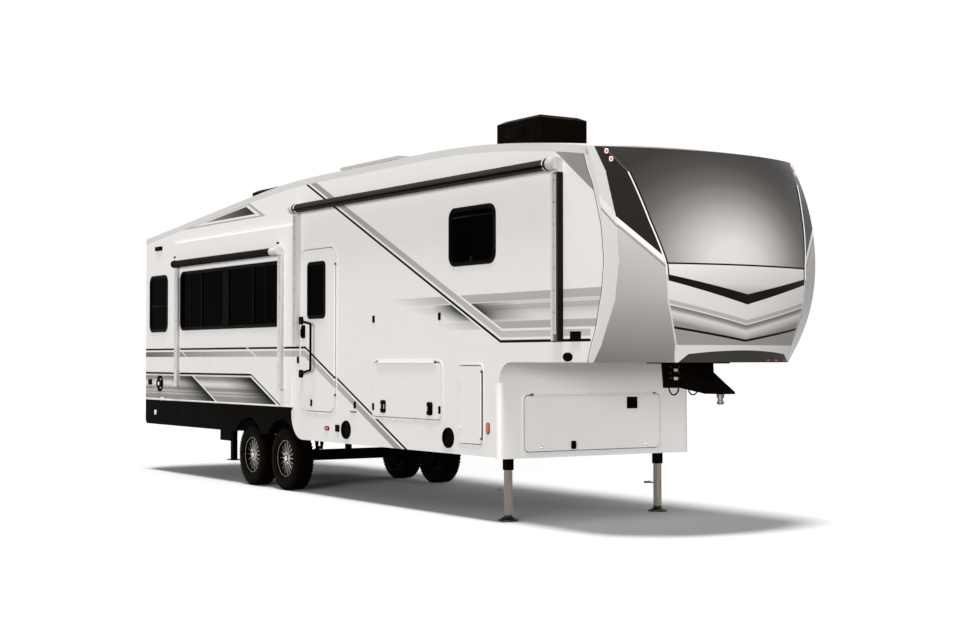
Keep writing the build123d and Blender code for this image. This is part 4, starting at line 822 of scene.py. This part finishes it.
# %% Tyres
TYRE_R = 0.393
TYRE_HALF = 0.115
TYRE_Y = 1.066
CROWN = 0.8              # how fast the tread falls off from its middle
AXLE_X = {"front": -1.23, "rear": -2.19}
GROOVES = (0.04, 0.0)
GROOVE_HALF = 0.004
GROOVE_DEEP = 0.008
BLOCKS = 54
ORIGIN = (0, 0, 0)


def rubber_finish():
    """Black rubber that has greyed a little in faint patches."""
    material, place, x, y, z = new_finish("tyre_rubber", roughness=0.5, Specular_IOR_Level=0.01)
    dust = noise(place, 14.0, 5.0).ramp((0.5, 0.0), (0.9, 0.04))
    return finished(material, dust.over(grey(4), grey(60)), noise(place, 30.0) * 0.2 + 0.42,
                    noise(place, 420.0, 2.0), 0.12, 0.0006)


def half_tread():
    """Rings from the bead over the sidewall to the middle of the tread, as radius and distance out."""
    rings = [
        (0.225, 0.084), (0.2275, 0.098), (0.238, 0.108), (0.248, 0.1105), (0.25, 0.113), (0.259, 0.113),
        (0.261, 0.1118), (0.29, TYRE_HALF), (0.308, TYRE_HALF), (0.31, 0.1135), (0.33, 0.1128),
        (0.35, 0.1095), (0.366, 0.104), (0.379, 0.096), (0.387, 0.086), (0.3905, 0.07)]
    for middle in GROOVES:
        crown = TYRE_R - CROWN * middle ** 2
        floor = crown - GROOVE_DEEP
        rings += [(crown, middle + GROOVE_HALF), (floor, middle + GROOVE_HALF * 0.6)]
        if middle:
            rings += [(floor, middle - GROOVE_HALF * 0.6), (crown, middle - GROOVE_HALF)]
    return rings


tread = half_tread()
profile = [(r, -y) for r, y in tread] + [(r, y) for r, y in reversed(tread)]
tyre = turned(ORIGIN, Y, profile + [(0.216, 0.06), (0.216, -0.06)], 96, closed=True)
lug = box((-0.0075, -0.108, TYRE_R - 0.03), (0.0075, -0.082, TYRE_R - 0.003))
pick(lug, "FACE", faces_along(Z, 1))
bpy.ops.transform.resize(value=(0.8, 0.7, 1), center_override=(0, -0.084, TYRE_R))
pick(lug, "FACE", faces_along(Z, -1))
bpy.ops.transform.translate(value=(0, -0.003, 0))
round_copies(soften(lug, 0.0015, 1), BLOCKS)
tyre = joined([tyre, lug, mirrored(lug)])
print("tyre faces", len(tyre.data.polygons))

# %% [markdown]
# The wheels are black alloy with machined faces: slim bright spokes over dark pockets, a dark barrel
# and a bright edge. A black dish carries the whole, one spoke is tapered and bevelled and then copied
# round, and the hub has a cap and a ring of nuts.

# %% Wheels
SPOKE_COUNT = 16
NUTS = 8

wheel_black = paint_finish("wheel_black", grey(4), 0.3, 0.0, 0.02, 0.02)
chrome_look = ("steel", metal_finish("chrome", 225, 0.16))
rubber = rubber_finish()

dish = turned(ORIGIN, Y, [
    (0.2235, -0.092), (0.2235, -0.086), (0.218, -0.084), (0.211, -0.078), (0.208, -0.05), (0.202, -0.026),
    (0.1, -0.034), (0.09, -0.048), (0.05, -0.052), (0.031, -0.052), (0.031, 0.11), (0.118, 0.11),
    (0.118, -0.006), (0.196, -0.006), (0.198, 0.07), (0.212, 0.086), (0.2235, 0.088)], 72, closed=True)
spoke = box((-0.0062, -0.072, 0.05), (0.0062, -0.04, 0.213))
pick(spoke, "FACE", faces_along(Z, -1))
bpy.ops.transform.resize(value=(0.65, 1, 1), center_override=(0, -0.07, 0.05))
bpy.ops.transform.translate(value=(0, -0.01, 0))
pick(spoke, "FACE", faces_along(Z, 1))
bpy.ops.transform.translate(value=(0, 0.006, 0))
pick(spoke, "EDGE", lambda edge: not runs_along(X)(edge) and all(abs(p.co.y) > 0.062 for p in edge.verts))
bpy.ops.mesh.bevel(offset=0.0022, segments=2, affect="EDGES")
all_off()
round_copies(spoke, SPOKE_COUNT)
lip = turned(ORIGIN, Y, [(0.2195, -0.0925), (0.223, -0.0935), (0.2237, -0.0925), (0.223, -0.0905),
                         (0.2195, -0.0905)], 72, closed=True)
centre_face = turned(ORIGIN, Y, [(0.048, -0.06), (0.064, -0.06), (0.07, -0.066), (0.064, -0.076),
                                 (0.048, -0.08)], 48, closed=True)
spokes = joined([spoke, lip, centre_face])
cap = turned(ORIGIN, Y, [(0.036, -0.05), (0.036, -0.086), (0.034, -0.092), (0.025, -0.095), (0.005, -0.0958)])
nut = turned((0, 0, 0.07), Y, [(0.0105, -0.05), (0.0105, -0.082), (0.0085, -0.086), (0.004, -0.0875)], 6)
round_copies(nut, NUTS)
nuts = joined([cap, nut])

for wheel in wheels:
    end, side = wheel.split("_")
    sign = -1 if side == "right" else 1
    place = (AXLE_X[end], sign * TYRE_Y, TYRE_R)
    turn = 0.0 if sign < 0 else math.pi
    body = "wheel_" + wheel
    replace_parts(fit("tyre_on_" + wheel, copied(tyre, place, turn), ("tyre", rubber), body), "tyre_" + wheel)
    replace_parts(fit("dish_" + wheel, copied(dish, place, turn), ("alloy", wheel_black), body), "rim_" + wheel)
    fit("spokes_" + wheel, copied(spokes, place, turn), ("alloy", alloy), body)
    fit("nuts_" + wheel, copied(nuts, place, turn), chrome_look, body)
discard(tyre, dish, spokes, nuts)
print("wheels", len(made), "pieces")

# %% [markdown]
# Vehicle windows are dark panes behind a black rubber seal. Each seal is a rounded rim with broken
# edges, just proud of the frame, and a narrower bead inside it holds the pane. The sliding windows
# also show the bar between their sashes. What the right side has, the left side has as a mirror image.

# %% Window seals
WALL_Y = -1.22
LEAF_Y = WALL_Y - 0.008
SLIDE_Y = WALL_Y - 0.035
FRAME_OUT = 0.008        # a window frame stands out this far
SEAL_OUT = 0.021
SEAL_WIDE = 0.024
BEAD_IN = 0.012

rubber_look = ("black_plastic", paint_finish("seal_rubber", grey(4), 0.42, 0.0, 0.02, 0.02))


def window_trim(x, z, wall, radius, bars=()):
    """Seal, bead and bars of one window in a wall of the right side."""
    face = wall - FRAME_OUT
    parts = []
    for grow, back, front, wide, segments, soft in (
            (SEAL_OUT, -0.004, 0.002, SEAL_WIDE, 8, 0.0025), (-BEAD_IN, 0.001, 0.011, 0.01, 6, 0.002)):
        parts.append(rim_of((x[0] - grow, face + back, z[0] - grow), (x[1] + grow, face + front, z[1] + grow),
                            Y, radius + grow, wide, segments, soft))
    for low, high in bars:
        parts.append(box((low[0], face + 0.004, low[1]), (high[0], face + 0.012, high[1]), 0.002))
    return joined(parts)


bars = ((2.735, 3.06), (3.535, 3.078)), ((3.09, 2.604), (3.15, 2.66))
fit_pair("bedroom_window_seal", window_trim((2.72, 3.55), (2.59, 3.15), WALL_Y, 0.09, bars), rubber_look)
bars = (((-5.565, 2.38), (-4.955, 2.396)),)
fit_pair("rear_side_window_seal", window_trim((-5.58, -4.94), (2.03, 2.81), WALL_Y, 0.09, bars), rubber_look)
bars = ((-4.02, 2.055), (-4.008, 2.805)), ((-1.6, 2.055), (-1.588, 2.805))
trim = window_trim((-4.345, -1.2), (2.04, 2.82), SLIDE_Y, 0.09, bars)
fit_pair("slide_window_seal", trim, rubber_look, "slide_out_right")
fit("door_window_seal", window_trim((-0.48, -0.06), (2.12, 2.76), LEAF_Y, 0.045), rubber_look, "entry_door")
far_seal = rim_of((0.279, 1.226, 2.029), (1.121, 1.232, 2.721), Y, 0.111, SEAL_WIDE, 8, 0.0025)
fit("far_seal", far_seal, rubber_look)
back_seal = rim_of((-5.772, -0.721, 1.929), (-5.766, 0.721, 2.671), X, 0.111, SEAL_WIDE, 8, 0.0025)
fit("back_window_seal", back_seal, rubber_look)
print("seals done, pieces", len(made))

# %% [markdown]
# Doors and hatches sit in a thin aluminium flange that is screwed to the wall. The flange is a rim a
# little wider than the gap round the leaf, painted as the wall is, and what one sees of it from a few
# steps away is its edge and the shadow in the gap. A thin trim ends each wall above the black skirt.

# %% Flanges of doors and hatches
FLANGE_GAP = 0.009
FLANGE_HIGH = 0.006
flange_look = ("white_moulding", paint_finish("flange_paint", grey(236), 0.28, 0.03))


def flange(across, face, low, high, radius, wide):
    """A thin rim on the wall round a leaf whose corners, in the wall's plane, are low and high."""
    def corner(at, depth):
        place = list(at)
        place.insert(across, depth)
        return place

    grow = FLANGE_GAP + wide
    outward = 1 if face > 0 else -1
    depth = sorted((face - outward * 0.001, face + outward * FLANGE_HIGH))
    return rim_of(corner([v - grow for v in low], depth[0]), corner([v + grow for v in high], depth[1]),
                  across, radius + grow, wide, 8, 0.002)


fit("entry_door_flange", flange(Y, WALL_Y, (-0.68, 1.005), (0.2, 2.925), 0.14, 0.034), flange_look)
fit_pair("baggage_flange", flange(Y, WALL_Y, (1.1, 0.99), (2.55, 1.58), 0.06, 0.024), flange_look)
fit("gas_locker_flange", flange(Y, WALL_Y, (2.89, 0.77), (3.32, 1.55), 0.045, 0.022), flange_look)
fit("front_hatch_flange", flange(X, 3.62, (-0.91, 0.7), (0.8, 1.254), 0.045, 0.022), flange_look)
trim = box((-4.684, SLIDE_Y - 0.004, 1.034), (-0.881, SLIDE_Y + 0.001, 1.052), 0.0015)
fit_pair("slide_trim", trim, flange_look, "slide_out_right")
print("flanges done, pieces", len(made))

# %% [markdown]
# Latches and locks come next. A baggage latch is a black paddle in a cup; the entry door has a lever
# over a plate with a key, and the small hatches have chromed thumb locks. Each is shaped once, and is
# copied to its places. Magnets that hold an open hatch are small black pads on the wall beside it.

# %% Latches, locks and magnets
def pad(x, z, size, face=WALL_Y, deep=0.016, radius=0.012):
    """A small rounded pad that stands out of the right side wall."""
    low = (x - size[0] / 2, face - deep, z - size[1] / 2)
    high = (x + size[0] / 2, face + 0.002, z + size[1] / 2)
    return rounded(low, high, Y, radius, 4, 0.003)


paddle = pad(0, 0, (0.098, 0.14), LEAF_Y, 0.019, 0.026)
pick(paddle, "FACE", lambda face: face.normal.y < -0.99 and face.calc_area() > 0.004)
bpy.ops.mesh.inset(thickness=0.014)
bpy.ops.transform.translate(value=(0, 0.008, 0))
grip = rounded((-0.028, LEAF_Y - 0.022, -0.045), (0.028, LEAF_Y - 0.008, 0.026), Y, 0.012, 4, 0.003)
paddle = joined([paddle, grip])
for number, x in enumerate((1.345, 2.335)):
    fit_pair("baggage_latch_%d" % number, copied(paddle, (x, 0, 1.1)), black_look, "baggage_hatch_right")
discard(paddle)

plate = pad(-0.6, 1.95, (0.078, 0.16), LEAF_Y, 0.021, 0.018)
lever = soften(box((-0.612, LEAF_Y - 0.044, 1.89), (-0.59, LEAF_Y - 0.02, 1.985)), 0.006, 3)
key = turned((-0.6, LEAF_Y, 2.008), Y, [(0.014, 0), (0.014, -0.024), (0.011, -0.027)], 20)
fit("entry_latch", joined([plate, lever, key]), black_look, "entry_door")

outline = [(0.015, 0.002), (0.015, -0.004), (0.011, -0.007), (0.011, -0.014), (0.009, -0.016)]
thumb = turned(ORIGIN, Y, outline, 24)
thumb = joined([thumb, box((-0.003, -0.022, -0.01), (0.003, -0.012, 0.01), 0.002)])
for number, z in enumerate((0.93, 1.4)):
    fit("gas_locker_lock_%d" % number, copied(thumb, (2.925, LEAF_Y, z)), chrome_look, "gas_hatch")
for number, y in enumerate((-0.71, 0.615)):
    lock = copied(thumb, (3.628, y, 0.738), math.pi / 2)
    fit("front_hatch_lock_%d" % number, lock, chrome_look, "front_hatch")
discard(thumb)

magnets = [pad(x, z, (0.034, 0.08)) for x, z in
           ((1.112, 2.066), (2.515, 2.066), (0.68, 1.1), (-0.76, 1.61))]
clips = [pad(x, 1.092, (0.026, 0.08), LEAF_Y) for x in (1.12, 2.53)]
fit("baggage_clips", joined(clips), black_look, "baggage_hatch_right")
magnets.append(pad(0.64, 1.02, (0.13, 0.012), deep=0.01, radius=0.004))
fit("door_magnets", joined(magnets), black_look)
stop = box((-0.405, LEAF_Y - 0.016, 1.06), (-0.375, LEAF_Y + 0.001, 1.14), 0.005)
fit("entry_door_stop", stop, black_look, "entry_door")
hasp = rounded((3.626, -0.345, 0.712), (3.648, -0.295, 0.795), X, 0.01, 4, 0.003)
fit("front_hatch_latch", hasp, black_look, "front_hatch")
vent = rounded((3.626, 0.37, 1.11), (3.64, 0.5, 1.23), X, 0.008, 3, 0.002)
slats = row_copies(box((3.638, 0.382, 1.122), (3.643, 0.488, 1.13), 0.001), 6, (0, 0, 0.018))
fit("front_hatch_vent", joined([vent, slats]), black_look, "front_hatch")
print("latches done, pieces", len(made))

# %% [markdown]
# The awnings are rolled up tight. The long one has a lead rail along its roll and pale caps at its
# ends. Each slide-out topper hangs on two pale channels with a row of rivets, and a rivet is one small
# turned head that is copied up the channel. The arms of the long awning have the same rivets.

# %% Awnings
ROLL_Z = 3.44
ROLL_Y = -1.295
RIVET = [(0.0062, 0.001), (0.0062, -0.001), (0.0045, -0.003), (0.0015, -0.0036)]
RIVETS = 8

fit("lead_rail", box((-0.66, -1.353, 3.408), (4.55, -1.341, 3.43), 0.003), black_look)
caps = [turned((x, ROLL_Y, ROLL_Z), X, [(0.052, 0), (0.0588, 0.002), (0.0588, 0.022), (0.052, 0.024)])
        for x in (-0.672, 4.53)]
fit("awning_caps", joined(caps), white_look)

channel_paint = paint_finish("channel_aluminium", grey(208), 0.34, 0.05)
channel_look = ("aluminium", channel_paint)
rivet_look = ("steel", paint_finish("rivet_heads", grey(60), 0.35, 0.0, 0.0, 0.1))
for number, x in enumerate((-4.452, -1.152)):
    web = box((x, SLIDE_Y - 0.064, 1.24), (x + 0.09, SLIDE_Y - 0.0405, 2.89))
    pick(web, "FACE", faces_along(Y, -1))
    bpy.ops.mesh.inset(thickness=0.012)
    bpy.ops.transform.translate(value=(0, 0.008, 0))
    fit_pair("slide_arm_channel_%d" % number, soften(web, 0.002), channel_look, "slide_out_right")
    rivet = turned((x + 0.045, SLIDE_Y - 0.056, 1.3), Y, RIVET, 12)
    row = row_copies(rivet, RIVETS, (0, 0, 0.215))
    fit_pair("slide_arm_rivets_%d" % number, row, rivet_look, "slide_out_right")
for number, x in enumerate((-0.75, 4.636)):
    row = row_copies(turned((x, -1.285, 1.85), Y, RIVET, 12), RIVETS, (0, 0, 0.205))
    fit("awning_arm_rivets_%d" % number, row, rivet_look)
eyes = [pad(x, 3.06, (0.06, 0.024), SLIDE_Y, 0.01, 0.008) for x in (-4.58, -1.26)]
fit_pair("slide_marker_lamps", joined(eyes), black_look, "slide_out_right")
print("awnings done, pieces", len(made))

# %% [markdown]
# The side carries many small fittings: amber lamps and reflectors, the rings of the speakers and of
# the hookup cover, plugs in the skirt, a cover for the handle's feet. They are pads and turned rings
# that stand a few millimetres out of what carries them.

# %% Fittings of the side
HOOKUP_X = -5.2
HOOKUP_Z = 1.27
BOLT_CIRCLE = 0.094
amber_look = ("red_lens", paint_finish("amber_lens", tint(214, 92, 30), 0.15, 0.0))

amber = [pad(-0.012, 0.81, (0.09, 0.034), radius=0.014),
         pad(3.427, 0.932, (0.056, 0.104), deep=0.01, radius=0.024)]
fit("side_amber_lamps", joined(amber), amber_look)
bases = [pad(-0.012, 0.81, (0.116, 0.05), deep=0.008, radius=0.02),
         pad(3.427, 0.932, (0.07, 0.118), deep=0.005, radius=0.03),
         pad(-5.26, 3.22, (0.25, 0.06), deep=0.02, radius=0.02)]
fit("side_lamp_bases", joined(bases), black_look)
oval = [(0.066, 0.001), (0.066, -0.018), (0.054, -0.026), (0.022, -0.028), (0.016, -0.024)]
fit("deck_lamp", turned((4.78, WALL_Y, 1.64), Y, oval, 40, height=0.62), black_look)
feet = [pad(-0.645, z, (0.058, 0.092), LEAF_Y, 0.034, 0.01) for z in (2.085, 1.445)]
fit("entry_handle_feet", joined(feet), black_look, "entry_door")
ring = [(0.086, -0.017), (0.09, -0.022), (0.1, -0.021), (0.106, -0.014), (0.106, 0.001), (0.086, 0.001)]
rings = [turned((x, WALL_Y, 0.81), Y, ring, 48, closed=True) for x in (0.47, 2.69)]
fit("speaker_rings", joined(rings), black_look)
ring = [(0.07, -0.018), (0.078, -0.024), (0.1, -0.022), (0.116, -0.012), (0.116, 0.001), (0.07, 0.001)]
fit("hookup_ring", turned((HOOKUP_X, WALL_Y, HOOKUP_Z), Y, ring, 48, closed=True), black_look)
bolt = turned(ORIGIN, Y, [(0.012, 0.002), (0.012, -0.004), (0.008, -0.008)], 16)
bolts = []
for turn in (0.7, 2.5, 3.9, 5.6):
    aside, up = BOLT_CIRCLE * math.cos(turn), BOLT_CIRCLE * math.sin(turn)
    bolts.append(copied(bolt, (HOOKUP_X + aside, WALL_Y - 0.02, HOOKUP_Z + up)))
bolts.append(turned((HOOKUP_X, WALL_Y - 0.014, HOOKUP_Z), Y, [(0.03, 0), (0.03, -0.012), (0.022, -0.018)]))
fit("hookup_bolts", joined(bolts), chrome_look)
discard(bolt)
plugs = [pad(-5.114, 1.05, (0.06, 0.044), deep=0.022, radius=0.01),
         pad(-5.357, 0.85, (0.05, 0.07), deep=0.018, radius=0.016)]
fit("drain_plugs", joined(plugs), white_look)
trim = box((-5.756, WALL_Y - 0.007, 1.034), (-4.7, WALL_Y + 0.001, 1.048), 0.002)
fit_pair("skirt_trim", trim, flange_look)
knuckle = [(0.005, 0), (0.006, 0.002), (0.006, 0.658), (0.005, 0.66)]
fit("gas_locker_hinge", turned((3.338, -1.23, 0.83), Z, knuckle, 16), black_look)
print("fittings done, pieces", len(made))

# %% [markdown]
# The nose carries clearance lamps, which follow its curve, and a pale bead along each edge of its front
# panel. A ray is cast back along X at the nose to find where each one sits and which way it looks, so
# that the lamp lies flat on the moulding.

# %% Lamps and beads of the nose
AHEAD = 7.0              # a ray that looks for the nose starts here


def on_nose(y, z):
    """The place on the nose in front of y and z, and the way its surface looks there."""
    hit, place, way, face = nodes["nose_cap"].ray_cast(Vector((AHEAD, y, z)), Vector((-1.0, 0.0, 0.0)))
    if not hit:
        raise ValueError("no nose at %.3f %.3f" % (y, z))
    return place, way


def laid_on_nose(piece, spots):
    """Copies of a piece modelled to look along X at the origin, laid on the nose and joined."""
    twins = []
    for spot in spots:
        place, way = on_nose(*spot)
        twin = duplicate(piece)
        twin.rotation_euler = way.to_track_quat("X", "Z").to_euler()
        twin.location = place
        twins.append(settle(twin))
    return joined(twins)


bezel = rounded((-0.008, -0.018, -0.026), (0.007, 0.018, 0.026), X, 0.015, 5, 0.003)
lens = rounded((0.004, -0.01, -0.018), (0.012, 0.01, 0.018), X, 0.009, 5, 0.003)
spots = [(sign * y, z) for sign in (-1, 1) for y, z in ((1.143, 3.499), (1.132, 3.422))]
fit("nose_lamp_bezels", laid_on_nose(bezel, spots), white_look)
fit("nose_lamp_lenses", laid_on_nose(lens, spots), amber_look)
spots = [(y, 1.61) for y in (-1.122, -1.07, -0.941, 0.331, 0.456, 0.595, 0.7)]
small = rounded((-0.004, -0.014, -0.006), (0.005, 0.014, 0.006), X, 0.005, 3, 0.002)
fit("nose_low_lamps", laid_on_nose(small, spots), amber_look)
discard(bezel, lens, small)


def bead_along(spots, radius):
    """A thin bead through places on the nose: a bevelled path, made a mesh."""
    all_off()
    curve = bpy.data.curves.new("bead", "CURVE")
    curve.dimensions = "3D"
    curve.bevel_depth = radius
    curve.bevel_resolution = 3
    curve.use_fill_caps = True
    line = curve.splines.new("POLY")
    line.points.add(len(spots) - 1)
    for point, (place, way) in zip(line.points, spots):
        point.co = (*(place + way * radius * 0.3), 1)
    piece = bpy.data.objects.new("bead", curve)
    bpy.context.scene.collection.objects.link(piece)
    only(piece)
    bpy.ops.object.convert(target="MESH")
    return bpy.context.object


def edge_of_panel(z):
    """Half width of the front panel at a height, from the same table as its print."""
    for (low, start), (high, end) in zip(PANEL_EDGE, PANEL_EDGE[1:]):
        if low <= z <= high:
            return start + (end - start) * (z - low) / (high - low)
    return PANEL_EDGE[-1][1]


BEAD_TOP = 3.3
BEAD_STEP = 0.0467
heights = [BEAD_TOP - BEAD_STEP * step for step in range(21)]
for name, inward, radius, look in (("panel_beads", 0.004, 0.007, flange_look),
                                   ("panel_bead_gaskets", 0.02, 0.005, black_look)):
    beads = [bead_along([on_nose(sign * (edge_of_panel(z) - inward), z) for z in heights], radius)
             for sign in (-1, 1)]
    fit(name, joined(beads), look)
print("nose done, pieces", len(made))

# %% [markdown]
# The coupler is a welded pin box between two bolted side plates. Its plates have slots for setting the
# height, so each gets two pale slots and two rows of bolt heads. The same bolt is copied for all.

# %% Pin box details
PIN_SIDE_Y = -0.17
slots = [rounded((5.03, PIN_SIDE_Y - 0.003, z), (5.09, PIN_SIDE_Y + 0.002, z + 0.03), Y, 0.013, 4, 0.001)
         for z in (1.502, 1.422)]
fit_pair("pin_box_slots", joined(slots), ("steel", channel_paint))
bolt = turned((0, PIN_SIDE_Y, 0), Y, [(0.01, 0.002), (0.01, -0.007), (0.007, -0.009)], 6)
bolts = [copied(bolt, (x, 0, z)) for x in (4.985, 5.112) for z in (1.55, 1.49, 1.44)]
fit_pair("pin_box_bolts", joined(bolts), rivet_look)
discard(bolt)
print("pin box done, pieces", len(made))

# %% [markdown]
# The back of the trailer has red lamps in black bezels, a bumper tube with plastic caps and a blank
# plate holder. On the roof, each air conditioner has louvres in its sides.

# %% Back and roof
REAR = -5.76
LAMP_Y = 1.08
CAP_Y = 1.1295
rims = [rim_of((REAR - 0.0165, y - 0.058, 1.107), (REAR - 0.0005, y + 0.058, 1.393), X, 0.016, 0.012, 4)
        for y in (-LAMP_Y, LAMP_Y)]
fit("tail_lamp_bezels", soften(joined(rims), 0.002), black_look)
holder = rounded((REAR - 0.012, -0.9, 1.12), (REAR + 0.001, -0.58, 1.28), X, 0.012, 4, 0.002)
fit("plate_holder", holder, black_look)
blank = rounded((REAR - 0.015, -0.888, 1.132), (REAR - 0.011, -0.592, 1.268), X, 0.01, 4, 0.001)
fit("blank_plate", blank, white_look)
ends = [box((-5.868, y, 0.702), (-5.782, y + 0.005, 0.788), 0.002) for y in (-CAP_Y - 0.005, CAP_Y)]
fit("bumper_caps", joined(ends), black_look)
for number, (x, top) in enumerate(((2.2, 4.1), (-4.06, 3.9))):
    louvre = box((x + 0.25, -0.3535, top - 0.11), (x + 0.6, -0.3485, top - 0.1), 0.001)
    fit_pair("shroud_louvres_%d" % number, row_copies(louvre, 5, (0, 0, 0.022)), rubber_look)
print("back and roof done, pieces", len(made))
